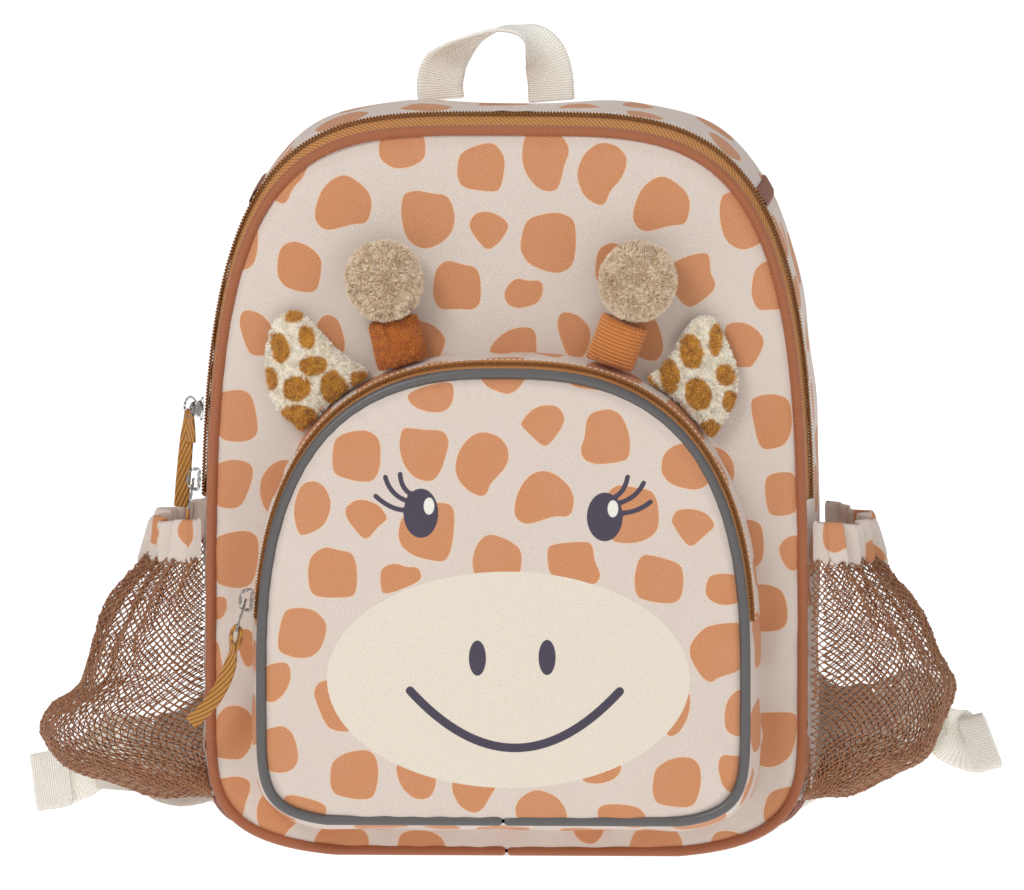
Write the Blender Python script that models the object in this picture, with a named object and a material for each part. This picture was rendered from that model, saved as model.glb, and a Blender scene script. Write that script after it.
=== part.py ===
"""A small child's backpack with a domed front pocket that carries plush ears and horns.

Metres, +Z up. The front faces -Y, and the origin is the middle of the flat base.
The body is a sewn shell: a front panel, a back panel and a gusset with a zip between them.
"""

import math
from collections import namedtuple

import bmesh
import bpy
import numpy as np
from mathutils import Vector

GAP = 0.0003  # between pieces that are sewn or seated together

# Body shell
BODY_WIDTH = 0.260
BODY_TOP = 0.318  # top of the front piping
BODY_DEPTH = 0.100
BODY_WIDEST = 0.070  # height where the body is widest
BODY_ARCH = 4.0  # power of the arch: 2 is an ellipse, more is squarer
BODY_FOOT = 4.3  # power of the two bottom corners
BASE_RISE = 0.0015  # the front panel stands this far above the base
PANEL_WALL = 0.0025
PANEL_DOME = 0.005  # how far the stuffed front panel stands forward
PANEL_SET = 0.0010  # the panel's edge behind the front of its piping
GUSSET_WALL = 0.0020
BACK_WALL = 0.006
BACK_DOME = 0.003
PIPING = 0.0046  # thickness of the body piping
SEAM_SINK = 0.0008  # how far a gusset dips where it meets the piping
FLARE_TOP = 0.0062  # how far the gusset swells past the front panel
FLARE_SIDE = 0.0025
TOP_SAG = 0.0030  # dip in the middle of the top
TOP_SAG_WIDTH = 0.055

# Zips
ZIP_TAPE_WALL = 0.0012
ZIP_COIL = 0.0030
ZIP_COIL_HEIGHT = 0.0016
BODY_ZIP_TAPE = 0.0112
BODY_ZIP_COIL_AT = 0.0080  # middle of the coil, behind the seam
BODY_ZIP_LOW_HEIGHT = 0.156  # height of the two ends of the zip

# Front pocket
POCKET_WIDTH = 0.2132
POCKET_LOW = 0.018
POCKET_WIDEST = 0.083
POCKET_TOP = 0.216
POCKET_ARCH = 2.6
POCKET_FOOT = 6.2
POCKET_DEPTH = 0.034  # front of the pocket piping to front of the body piping
POCKET_PIPING = 0.0046
POCKET_WALL = 0.0025
POCKET_DOME = 0.006
POCKET_FLARE_TOP = 0.0045
POCKET_FLARE_SIDE = 0.0035
POCKET_FLARE_LOW = 0.0055
POCKET_GUSSET_WALL = 0.0018
POCKET_ZIP_TAPE = 0.0090
POCKET_ZIP_COIL_AT = 0.0065
POCKET_ZIP_LOW_HEIGHT = 0.106

# Horns and ears of plush
STEM_WIDTH = 0.0225
STEM_DEPTH = 0.0130
STEM_LENGTH = {"left": 0.0205, "right": 0.0215}
KNOB_WIDTH = 0.0325
KNOB_DEPTH = 0.028
KNOB_HEIGHT = 0.033
EAR_SIZE = 0.046
EAR_THICKNESS = 0.0090
EAR_SEAM = 0.038  # length sewn along the pocket's edge
HORN_SHARE = {"left": -0.2012, "right": 0.2017}  # where they stand, as shares of the pocket's width
EAR_SHARE = {"left": -0.3354, "right": 0.3424}

# Net side pockets
NET_LOW = 0.026
NET_TOP = 0.1295
NET_BULGE = {"left": 0.0700, "right": 0.0560}  # how far the slack net stands out
NET_WALL = 0.0012
NET_STRAND = 0.0018
NET_EASE = 0.0016  # keeps the straight strands off the rounded corner
NET_FRONT_SET = 0.0010  # the net's two side seams, in from the gusset's own edges
NET_BACK_SET = 0.0040
NET_ACROSS = 10
NET_UP = 8
HEM_HEIGHT = 0.018
HEM_WALL = 0.0022
HEM_RUFFLE = 0.0012

# Webbing and straps
WEB_WALL = 0.0015
HANDLE_WIDTH = 0.020
HANDLE_SPAN = 0.047  # between the middles of the two legs
HANDLE_RISE = 0.033
HANDLE_OFFSET = -0.0090
HANDLE_SET = 0.0040  # the handle's legs, in from the body's back
HANDLE_SLANT = 0.0060  # how far its crest comes forward as it turns over
STRAP_WIDTH = 0.042
STRAP_WALL = 0.007
STRAP_LIFT = 0.015  # how far the strap stands off the back at the shoulder
WEB_WIDTH = 0.025
WEB_LIFT = 0.025  # how far the lower webbing stands off the back behind the strap
WEB_HEM_WALL = 0.0034  # the folded and sewn end
LOCK_WALL = 0.003
LOCK_BAR = 0.0036
LOCK_SLOT = 0.0054
LOCK_FRAME = 0.0032
LOCK_CLEARANCE = 0.0012  # slot longer than the webbing is wide
BAND_WIDTH = 0.009
BAND_WALL = 0.0010
BAND_SHARE = 0.385  # where the two bands cross the gusset, as a share of the way round

# Zip sliders and their pulls
SLIDER_WALL = 0.0014
SLIDER_LENGTH = 0.0100
SLIDER_WINDOW = 0.0034
SLIDER_WIDE = 0.0070
SLIDER_BRIDGE = 0.0026
SLIDER_HEIGHT = 0.1935  # of the upper slider on the left side
LOW_SLIDER_HEIGHT = 0.163
POCKET_SLIDER_HEIGHT = 0.114
RING_WIRE = 0.0011
RING_SIZE = 0.0100
RING_TURN = 52  # degrees to the rear, as it lies against the bag
PULL_TURN = 38
TAB_LENGTH = 0.0150
TAB_WIDE = 0.0075
TAB_BAR = 0.0012
PULL_WIDTH = 0.0065
PULL_WALL = 0.0011
PULL_FOLD_WIDTH = 0.0032  # where it is gathered round its ring or tab
PULL_LENGTH = 0.0405
POCKET_PULL_LENGTH = 0.046
LOW_PULL_LENGTH = 0.014
BINDING_HEIGHT = 0.007
BINDING_WALL = 0.0012

# Facets
BODY_STEPS_LOW = 22
BODY_STEPS_HIGH = 38
POCKET_STEPS_LOW = 20
POCKET_STEPS_HIGH = 28

CURVE_WEIGHT = 1.6  # how much closer the facets lie where an outline bends
FOOT_FLAT = 1.022  # flattens the lowest part of an outline

FRONT = -BODY_DEPTH / 2
BACK = BODY_DEPTH / 2
SEAM_FRONT = FRONT + PIPING + GAP
POCKET_FRONT = FRONT - POCKET_DEPTH
POCKET_SEAM = POCKET_FRONT + POCKET_PIPING + GAP

# Share of the depth, rise on the sides and the top, rise under the base
GUSSET_PROFILE = (
    (0.00, 0.00, 0.00),
    (0.07, 0.62, 1.00),
    (0.13, 0.78, 1.00),
    (0.30, 1.00, 1.00),
    (0.62, 1.00, 1.00),
    (0.86, 0.96, 1.00),
    (1.00, 0.55, 0.40),
)

# Share of the way up the net, stand-out and height, both as shares of the largest, at mid depth
NET_PROFILE = {
    "left": (
        (0.00, 0.00, 0.00),
        (0.08, 0.33, -0.03),
        (0.16, 0.62, 0.04),
        (0.24, 0.88, 0.10),
        (0.32, 1.00, 0.21),
        (0.40, 0.92, 0.32),
        (0.47, 0.76, 0.40),
        (0.60, 0.69, 0.56),
        (0.80, 0.52, 0.80),
        (1.00, 0.27, 1.00),
    ),
    "right": (
        (0.00, 0.00, 0.00),
        (0.08, 0.30, -0.01),
        (0.16, 0.58, 0.08),
        (0.24, 0.86, 0.17),
        (0.32, 0.95, 0.29),
        (0.42, 1.00, 0.42),
        (0.54, 0.91, 0.57),
        (0.70, 0.76, 0.73),
        (0.86, 0.55, 0.88),
        (1.00, 0.36, 1.00),
    ),
}

# Ear outlines off the pocket's edge: along it and out from it, as shares of the ear's size
EAR_LEFT = (
    (0.41, 0.11),
    (0.46, 0.30),
    (0.42, 0.47),
    (0.30, 0.67),
    (0.18, 0.82),
    (0.02, 0.94),
    (-0.15, 1.00),
    (-0.30, 0.96),
    (-0.33, 0.82),
    (-0.34, 0.66),
    (-0.33, 0.46),
    (-0.37, 0.25),
    (-0.44, 0.08),
)
EAR_RIGHT = (
    (0.40, 0.08),
    (0.39, 0.24),
    (0.41, 0.41),
    (0.46, 0.57),
    (0.48, 0.71),
    (0.43, 0.83),
    (0.31, 0.87),
    (0.14, 0.80),
    (-0.04, 0.72),
    (-0.21, 0.61),
    (-0.34, 0.43),
    (-0.39, 0.24),
    (-0.40, 0.08),
)

# Handle centreline and lean of the webbing: across and up as shares, and turn of its width in degrees
HANDLE_ROUTE = (
    (-0.50, 0.00, 0),
    (-0.51, 0.22, 4),
    (-0.47, 0.44, 14),
    (-0.34, 0.66, 36),
    (-0.14, 0.86, 62),
    (0.10, 0.97, 76),
    (0.30, 0.90, 60),
    (0.44, 0.66, 34),
    (0.50, 0.36, 12),
    (0.52, 0.00, 4),
)

# Shoulder strap: across as a share of half the body, up of the body's top, lift of the strap's lift
STRAP_ROUTE = (
    (0.290, 0.900, 0.000),
    (0.310, 0.820, 0.400),
    (0.350, 0.720, 0.733),
    (0.405, 0.610, 0.933),
    (0.480, 0.495, 1.000),
    (0.580, 0.385, 0.933),
    (0.710, 0.285, 0.800),
    (0.850, 0.195, 0.667),
    (0.980, 0.128, 0.600),
    (1.110, 0.100, 0.600),
    (1.230, 0.104, 0.600),
)

# Webbing from the bottom corner: across and up as above, lift as a share of the webbing's lift
WEB_START = (
    (0.700, 0.051, 0.00),
    (0.755, 0.050, 0.06),
    (0.810, 0.050, 0.88),
    (0.920, 0.060, 1.00),
    (1.060, 0.082, 1.00),
    (1.230, 0.102, 0.90),
)

# Past the body's side each strap's end rises by this much for each half width
STRAP_END_RISE = {"left": 0.0, "right": 0.045}

# The webbing's free end past the lock: out, up and to the rear, as shares of its width
WEB_TAIL = {
    "left": (
        (0.45, -0.22, 0.08),
        (0.78, -0.42, 0.00),
        (0.80, -0.43, -0.02),
        (1.38, -0.52, -0.24),
    ),
    "right": (
        (0.50, -0.42, 0.13),
        (0.84, -0.70, 0.04),
        (0.86, -0.70, 0.02),
        (1.28, -0.56, -0.32),
    ),
}

Station = namedtuple("Station", "x z out_x out_z")


def clear_scene():
    for item in list(bpy.data.objects):
        bpy.data.objects.remove(item)


def material(name, colour, roughness, metallic=0.0):
    made = bpy.data.materials.new(name)
    made.use_nodes = True
    shader = made.node_tree.nodes["Principled BSDF"]
    shader.inputs["Base Color"].default_value = (*colour, 1.0)
    shader.inputs["Roughness"].default_value = roughness
    shader.inputs["Metallic"].default_value = metallic
    made.diffuse_color = (*colour, 1.0)
    return made


def add_object(name, bm, finish, sharp=40):
    """Turns a bmesh into a named object with outward faces."""
    bmesh.ops.recalc_face_normals(bm, faces=bm.faces)
    mesh = bpy.data.meshes.new(name)
    bm.to_mesh(mesh)
    bm.free()
    mesh.shade_smooth()
    mesh.set_sharp_from_angle(angle=math.radians(sharp))
    mesh.materials.append(finish)
    made = bpy.data.objects.new(name, mesh)
    bpy.context.scene.collection.objects.link(made)
    return made


def loft(name, sections, finish, closed=False):
    """Joins like sections into one solid, closed into a ring or capped at both ends."""
    bm = bmesh.new()
    rows = [[bm.verts.new(point) for point in section] for section in sections]
    around = len(rows[0])
    last = len(rows) if closed else len(rows) - 1
    for i in range(last):
        here, there = rows[i], rows[(i + 1) % len(rows)]
        for k in range(around):
            n = (k + 1) % around
            bm.faces.new((here[k], here[n], there[n], there[k]))
    if not closed:
        bm.faces.new(rows[0])
        bm.faces.new(rows[-1])
        bmesh.ops.triangulate(bm, faces=[f for f in bm.faces if len(f.verts) > 4])
    return add_object(name, bm, finish)


class Outline:
    """The closed outline of a bag panel, measured by its length from the middle of its base."""

    def __init__(self, width, low, widest, top, arch, foot):
        curve = []
        samples = 2400
        for i in range(samples + 1):
            turn = 2 * math.pi * i / samples - math.pi / 2
            across, up = math.cos(turn), math.sin(turn)
            upper = up > 0
            power = arch if upper else foot
            reach = top - widest if upper else (widest - low) * FOOT_FLAT
            radius = (abs(across) ** power + abs(up) ** power) ** (-1 / power)
            x = width / 2 * radius * across
            curve.append((x, max(low, widest + reach * radius * up)))
        self.curve = np.array(curve)
        steps = np.linalg.norm(np.diff(self.curve, axis=0), axis=1)
        self.run = np.concatenate([[0.0], np.cumsum(steps)])
        self.length = float(self.run[-1])
        turns = np.diff(np.unwrap(np.arctan2(np.diff(self.curve[:, 1]), np.diff(self.curve[:, 0]))))
        turned = np.concatenate([[0.0, 0.0], np.cumsum(np.abs(turns))])
        self.pace = self.run / self.length + CURVE_WEIGHT * turned / (2 * math.pi)

    def point(self, share):
        along = (share % 1.0) * self.length
        x = np.interp(along, self.run, self.curve[:, 0])
        z = np.interp(along, self.run, self.curve[:, 1])
        return float(x), float(z)

    def station(self, share):
        """The place at a share of the way round, with the direction that points out of the bag."""
        x, z = self.point(share)
        x0, z0 = self.point(share - 0.004)
        x1, z1 = self.point(share + 0.004)
        length = math.hypot(x1 - x0, z1 - z0)
        return Station(x, z, (z1 - z0) / length, (x0 - x1) / length)

    def share_at_height(self, height):
        """Share of the way round, on the +X side, at which the outline reaches a height."""
        half = len(self.run) // 2 + 1
        along = np.interp(height, self.curve[:half, 1], self.run[:half])
        return float(along / self.length)

    def share_over(self, x):
        """Share of the way round, over the top, at which the outline lies above x."""
        start = int(np.argmax(self.curve[:, 0]))
        end = int(np.argmin(self.curve[:, 0]))
        along = np.interp(-x, -self.curve[start:end, 0], self.run[start:end])
        return float(along / self.length)

    def paced(self, start, end, steps):
        """Shares between two others, closer together where the outline bends."""
        at = self.run / self.length
        paces = np.linspace(np.interp(start, at, self.pace), np.interp(end, at, self.pace), steps + 1)
        return list(np.interp(paces, self.pace, at))

    def shares(self, end_height, low_steps, high_steps):
        """Shares from the middle of the base, with a station at each end of the zip."""
        end = self.share_at_height(end_height)
        low = self.paced(0.0, end, low_steps // 2)
        high = self.paced(end, 0.5, high_steps // 2)
        low = [-share for share in low[:0:-1]] + low
        high = high + [1 - share for share in high[-2::-1]]
        return end, low, high


def placed(station, out, y, lowest=0.0):
    """A point off an outline: out along its normal, at depth y, never under the base."""
    z = station.z + station.out_z * out
    return Vector((station.x + station.out_x * out, y, max(z, lowest)))


def mixed(table, at, column):
    """Reads a column of a table between its rows."""
    return float(np.interp(at, [row[0] for row in table], [row[column] for row in table]))


def body_out(station, share):
    """How far the gusset's outer side stands off the body outline, at a share of its depth."""
    top = max(0.0, station.out_z)
    base = max(0.0, -station.out_z) ** 2
    flare = FLARE_SIDE + (FLARE_TOP - FLARE_SIDE) * top - (FLARE_SIDE - BASE_RISE) * base
    side_rise = mixed(GUSSET_PROFILE, share, 1)
    base_rise = mixed(GUSSET_PROFILE, share, 2)
    rise = side_rise + (base_rise - side_rise) * base
    back = min(1.0, max(0.0, (share - 0.13) / 0.35))
    sag = TOP_SAG * top * back * math.exp(-((station.x / TOP_SAG_WIDTH) ** 2))
    return (flare + SEAM_SINK) * rise - SEAM_SINK - sag


def body_depth(share):
    return SEAM_FRONT + (BACK - SEAM_FRONT) * share


def body_share(y):
    return (y - SEAM_FRONT) / (BACK - SEAM_FRONT)


def panel_front(x, z):
    """Depth of the front panel's outer side, which swells forward between its edges."""
    middle = (BODY_TOP + BASE_RISE) / 2
    across = min(1.0, abs(2 * x / BODY_WIDTH))
    up = min(1.0, abs(z - middle) / (BODY_TOP - middle))
    return FRONT + PANEL_SET - PANEL_DOME * (1 - across**2.2) * (1 - up**2.2)


def pocket_front(x, z):
    """Depth of the pocket face's outer side."""
    middle = (POCKET_TOP + POCKET_LOW) / 2
    across = min(1.0, abs(2 * x / POCKET_WIDTH))
    up = min(1.0, abs(z - middle) / (POCKET_TOP - middle))
    return POCKET_FRONT + PANEL_SET - POCKET_DOME * (1 - across**2.2) * (1 - up**2.2)


def pocket_flare(station):
    """How far the pocket's gusset has spread where it meets the body."""
    top, low = max(0.0, station.out_z), max(0.0, -station.out_z)
    flare = POCKET_FLARE_SIDE + (POCKET_FLARE_TOP - POCKET_FLARE_SIDE) * top
    return flare + (POCKET_FLARE_LOW - POCKET_FLARE_SIDE) * low


def pocket_point(station, y, sink=0.0):
    """A point on the pocket gusset's outer side, or sunk below it, at depth y."""
    flare = pocket_flare(station)
    foot = placed(station, flare, 0.0)
    back = panel_front(foot.x, foot.z)
    share = (y - POCKET_SEAM) / (back - POCKET_SEAM)
    rise = min(1.0, max(0.0, share)) ** 0.7
    return placed(station, (flare + SEAM_SINK) * rise - SEAM_SINK - sink, y)


def pocket_back(station):
    """Depth at which the pocket gusset ends on the body's front panel."""
    foot = placed(station, pocket_flare(station), 0.0)
    return panel_front(foot.x, foot.z) - GAP


BODY = Outline(BODY_WIDTH, BASE_RISE, BODY_WIDEST, BODY_TOP, BODY_ARCH, BODY_FOOT)
POCKET = Outline(
    POCKET_WIDTH, POCKET_LOW, POCKET_WIDEST, POCKET_TOP, POCKET_ARCH, POCKET_FOOT
)
BODY_END, BODY_LOW, BODY_HIGH = BODY.shares(BODY_ZIP_LOW_HEIGHT, BODY_STEPS_LOW, BODY_STEPS_HIGH)
POCKET_END, POCKET_LOWER, POCKET_UPPER = POCKET.shares(
    POCKET_ZIP_LOW_HEIGHT, POCKET_STEPS_LOW, POCKET_STEPS_HIGH
)
BODY_RING = [BODY.station(s) for s in BODY_LOW[:-1] + BODY_HIGH[:-1]]
SIDE_STATIONS = [
    BODY.station(BODY.share_at_height(h)) for h in np.linspace(2 * BASE_RISE, 1.3 * BODY_ZIP_LOW_HEIGHT, 32)
]
POCKET_RING = [POCKET.station(s) for s in POCKET_LOWER[:-1] + POCKET_UPPER[:-1]]


def trimmed(outline, shares):
    """The stations of an open span, with half a gap taken off each end."""
    half = GAP / 2 / outline.length
    ends = [shares[0] + half, *shares[1:-1], shares[-1] - half]
    return [outline.station(s) for s in ends]


def piping(name, ring, thickness, front, finish):
    """A cord covered in tape, sewn round a panel's edge."""
    radius = thickness / 2
    sides = 6
    sections = []
    for station in ring:
        section = []
        for k in range(sides):
            turn = 2 * math.pi * (k + 0.5) / sides
            out = radius * math.cos(turn) - radius
            section.append(placed(station, out, front + radius + radius * math.sin(turn)))
        sections.append(section)
    return loft(name, sections, finish, closed=True)


def panel(name, ring, insets, surface, wall, centre, finish, lowest=0.0):
    """A swelling panel: a rim, rings drawn in towards its centre, and a wall behind them."""
    bm = bmesh.new()
    sides = []
    for depth, shares in ((0.0, (1.0, 0.84, 0.60, 0.32)), (wall, (1.0, 0.62, 0.30))):
        rows = []
        for share in shares:
            row = []
            for station, inset in zip(ring, insets):
                edge = placed(station, -inset, 0.0, lowest)
                x = edge.x * share
                z = centre + (edge.z - centre) * share
                row.append(bm.verts.new((x, surface(x, z) + depth, z)))
            rows.append(row)
        middle = bm.verts.new((0.0, surface(0.0, centre) + depth, centre))
        sides.append((rows, middle))
    count = len(ring)
    for rows, middle in sides:
        for outer, inner in zip(rows, rows[1:]):
            for i in range(count):
                n = (i + 1) % count
                bm.faces.new((outer[i], outer[n], inner[n], inner[i]))
        for i in range(count):
            bm.faces.new((rows[-1][i], rows[-1][(i + 1) % count], middle))
    front_rim, back_rim = sides[0][0][0], sides[1][0][0]
    for i in range(count):
        n = (i + 1) % count
        bm.faces.new((front_rim[i], front_rim[n], back_rim[n], back_rim[i]))
    return add_object(name, bm, finish)


def body_wall(stations, shares, wall, sink=0.0):
    """Sections of a wall that follows the gusset's outer side."""
    sections = []
    for station in stations:
        outer = [placed(station, body_out(station, s) - sink, body_depth(s)) for s in shares]
        inner = [
            placed(station, body_out(station, s) - sink - wall, body_depth(s), wall)
            for s in reversed(shares)
        ]
        sections.append(outer + inner)
    return sections


def pocket_wall(stations, start, end, steps, wall, sink=0.0):
    """Sections of a wall that follows the pocket gusset, between two depths."""
    sections = []
    for station in stations:
        first, last = start(station), end(station)
        depths = [first + (last - first) * k / steps for k in range(steps + 1)]
        outer = [pocket_point(station, y, sink) for y in depths]
        inner = [pocket_point(station, y, sink + wall) for y in reversed(depths)]
        sections.append(outer + inner)
    return sections


def body_shell():
    """Front panel, its piping, the gusset with its zip, and the padded back."""
    piping("front_piping", BODY_RING, PIPING, FRONT, PIPING_TAPE)
    centre = (BODY_TOP + BASE_RISE) / 2
    inset = PIPING + GAP
    panel(
        "front_panel",
        BODY_RING,
        [inset] * len(BODY_RING),
        panel_front,
        PANEL_WALL,
        centre,
        PRINT,
    )

    def back_inner(x, z):
        return back_surface(x, z) - BACK_WALL

    panel(
        "back_panel",
        BODY_RING,
        [GUSSET_WALL + GAP - body_out(station, 1.0) for station in BODY_RING],
        back_inner,
        BACK_WALL,
        centre,
        BACKING,
        GUSSET_WALL + GAP,
    )

    low = trimmed(BODY, BODY_LOW)
    high = trimmed(BODY, BODY_HIGH)
    loft("gusset_lower", body_wall(low, (0.0, 0.07, 0.30, 0.62, 0.86, 1.0), GUSSET_WALL), PRINT)
    zip_share = body_share(SEAM_FRONT + BODY_ZIP_TAPE)
    edge = body_share(SEAM_FRONT + BODY_ZIP_TAPE + GAP)
    loft("gusset_upper", body_wall(high, (edge, 0.30, 0.62, 0.86, 1.0), GUSSET_WALL), PRINT)
    loft(
        "main_zip_tape",
        body_wall(high, (0.0, 0.07, zip_share), ZIP_TAPE_WALL, GAP),
        ZIP_TAPE,
    )
    coil_from = body_share(SEAM_FRONT + BODY_ZIP_COIL_AT - ZIP_COIL / 2)
    coil_to = body_share(SEAM_FRONT + BODY_ZIP_COIL_AT + ZIP_COIL / 2)
    loft(
        "main_zip_coil",
        body_wall(high, (coil_from, coil_to), ZIP_COIL_HEIGHT, -ZIP_COIL_HEIGHT),
        COIL,
    )


def gusset_bands():
    """Two bands of tape that cross the gusset at the shoulders and cover its seams."""
    shares = (0.20, 0.30, 0.62, 0.86, 0.97)
    for name, middle in (("band_left", 1 - BAND_SHARE), ("band_right", BAND_SHARE)):
        half = BAND_WIDTH / 2 / BODY.length
        stations = [BODY.station(middle + side * half) for side in (-1, 0, 1)]
        loft(name, body_wall(stations, shares, BAND_WALL, -BAND_WALL - GAP), BAND_TAPE)


def front_pocket():
    """The pocket's printed face, its grey piping, its zip and its gusset."""
    piping("pocket_piping", POCKET_RING, POCKET_PIPING, POCKET_FRONT, GREY_TAPE)
    inset = POCKET_PIPING + GAP
    panel(
        "pocket_face",
        POCKET_RING,
        [inset] * len(POCKET_RING),
        pocket_front,
        POCKET_WALL,
        (POCKET_TOP + POCKET_LOW) / 2,
        PRINT,
    )
    low = trimmed(POCKET, POCKET_LOWER)
    high = trimmed(POCKET, POCKET_UPPER)

    def fixed(depth):
        return lambda station: POCKET_SEAM + depth

    wall = POCKET_GUSSET_WALL
    loft("pocket_gusset_lower", pocket_wall(low, fixed(0), pocket_back, 2, wall), PRINT)
    loft(
        "pocket_gusset_upper",
        pocket_wall(high, fixed(POCKET_ZIP_TAPE + GAP), pocket_back, 1, wall),
        PRINT,
    )
    loft(
        "pocket_zip_tape",
        pocket_wall(high, fixed(0), fixed(POCKET_ZIP_TAPE), 1, ZIP_TAPE_WALL, 2 * GAP),
        ZIP_TAPE,
    )
    coil = [
        fixed(POCKET_ZIP_COIL_AT - ZIP_COIL / 2),
        fixed(POCKET_ZIP_COIL_AT + ZIP_COIL / 2),
    ]
    loft(
        "pocket_zip_coil",
        pocket_wall(high, *coil, 1, ZIP_COIL_HEIGHT, GAP - ZIP_COIL_HEIGHT),
        COIL,
    )


def ellipse_rings(name, rings, sides, finish):
    """A closed solid through elliptical rings: centre, half width, half depth, and its axis."""
    sections = []
    for centre, half_width, half_depth, axis in rings:
        across = axis.cross(Vector((0, 1, 0))).normalized()
        deep = across.cross(axis).normalized()
        section = []
        for k in range(sides):
            turn = 2 * math.pi * k / sides
            offset = across * (half_width * math.cos(turn))
            section.append(centre + offset + deep * (half_depth * math.sin(turn)))
        sections.append(section)
    return loft(name, sections, finish)


def horn(side, lean, knob_lean):
    """A stuffed stem with a plush knob, standing on the pocket gusset."""
    share = POCKET.share_over(HORN_SHARE[side] * POCKET_WIDTH)
    station = POCKET.station(share)
    outward = Vector((station.out_x, 0.0, station.out_z))
    stem_y = pocket_back(station) - STEM_DEPTH / 2 - 2 * GAP
    base = placed(station, 0.0, stem_y)
    lift = 0.0
    for step in (-1, -0.5, 0, 0.5, 1):
        near = POCKET.station(share + step * STEM_WIDTH / 2 / POCKET.length)
        top = pocket_point(near, stem_y + STEM_DEPTH / 2)
        lift = max(lift, (top - base).dot(outward))
    foot = base + outward * (lift + GAP)
    tilt = math.radians(lean)
    axis = Vector((math.sin(tilt), -0.10, math.cos(tilt))).normalized()
    stem = []
    for along, swell in ((0.0, 1.0), (0.5, 0.96), (1.0, 0.98)):
        facing = outward.lerp(axis, min(1.0, along * 2)).normalized()
        centre = foot + axis * STEM_LENGTH[side] * along
        stem.append((centre, STEM_WIDTH / 2 * swell, STEM_DEPTH / 2, facing))
    ellipse_rings(f"horn_stem_{side}", stem, 12, STEM_KNIT)
    knob_axis = Vector((math.sin(math.radians(knob_lean)), 0.0, 1.0)).normalized()
    start = foot + axis * (STEM_LENGTH[side] + GAP)
    clearance = STEM_DEPTH / 2 * abs(axis.y) + STEM_WIDTH / 2 * abs(axis.x - knob_axis.x)
    start += knob_axis * (clearance + GAP)
    start.y = min(start.y, panel_front(start.x, start.z) - KNOB_DEPTH / 2 - GAP)
    knob = []
    for turn in (0.22, 0.40, 0.62, 0.86, 1.12, 1.40, 1.75, 2.10, 2.45, 2.80):
        swell = math.sin(turn)
        along = (math.cos(0.22) - math.cos(turn)) / 2
        centre = start + knob_axis * (KNOB_HEIGHT * along)
        knob.append((centre, KNOB_WIDTH / 2 * swell, KNOB_DEPTH / 2 * swell, knob_axis))
    ellipse_rings(f"horn_knob_{side}", knob, 12, KNOB_PLUSH)


def ear(side, table):
    """A padded plush ear, sewn along the pocket's edge."""
    share = POCKET.share_over(EAR_SHARE[side] * POCKET_WIDTH)
    middle = POCKET.station(share)
    tangent = Vector((-middle.out_z, 0.0, middle.out_x))
    outward = Vector((middle.out_x, 0.0, middle.out_z))
    half = EAR_THICKNESS / 2
    rim = []
    for step in (-1.0, -0.5, 0.0, 0.5, 1.0):
        station = POCKET.station(share + step * EAR_SEAM / 2 / POCKET.length)
        rim.append(placed(station, pocket_flare(station) + 2 * GAP, 0.0))
    start = (rim[0] + rim[-1]) / 2
    tips = [start + tangent * (a * EAR_SIZE) + outward * (o * EAR_SIZE) for a, o in table]
    outline = rim + tips
    centre = sum(outline, Vector()) / len(outline)
    back = min(panel_front(p.x, p.z) for p in outline + [centre]) - GAP
    depth = back - half
    sections = []
    for y_share, shrink in ((-1.0, 0.55), (-0.72, 0.86), (0.0, 1.0), (0.72, 0.9), (1.0, 0.6)):
        seats = [centre.lerp(point, shrink) for point in outline]
        sections.append([Vector((seat.x, depth + y_share * half, seat.z)) for seat in seats])
    loft(f"ear_{side}", sections, EAR_PLUSH)


def side_foot(height, y):
    """How far out the gusset's outer side lies on the +X side, at a height and depth."""
    share = min(1.0, max(0.0, body_share(y)))
    foot = [placed(station, body_out(station, share), y) for station in SIDE_STATIONS]
    return float(np.interp(height, [p.z for p in foot], [p.x for p in foot]))


NET_FRONT = SEAM_FRONT + NET_FRONT_SET
NET_BACK = BACK - NET_BACK_SET


def net_point(side, around, up):
    """A point of the slack net on the +X side: around from front to back, up from low to top."""
    turn = math.pi * around
    y = (NET_FRONT + NET_BACK) / 2 - (NET_BACK - NET_FRONT) / 2 * math.cos(turn)
    profile = NET_PROFILE[side]
    bulge = NET_BULGE[side] * mixed(profile, up, 1) * math.sin(turn) ** 0.8
    seam_z = NET_LOW + (NET_TOP - NET_LOW) * up
    middle_z = NET_LOW + (NET_TOP - NET_LOW) * mixed(profile, up, 2)
    z = seam_z + (middle_z - seam_z) * math.sin(turn)
    x = side_foot(z, y) + GAP + NET_EASE + NET_WALL / 2 + bulge
    return Vector((x, y, z))


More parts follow.
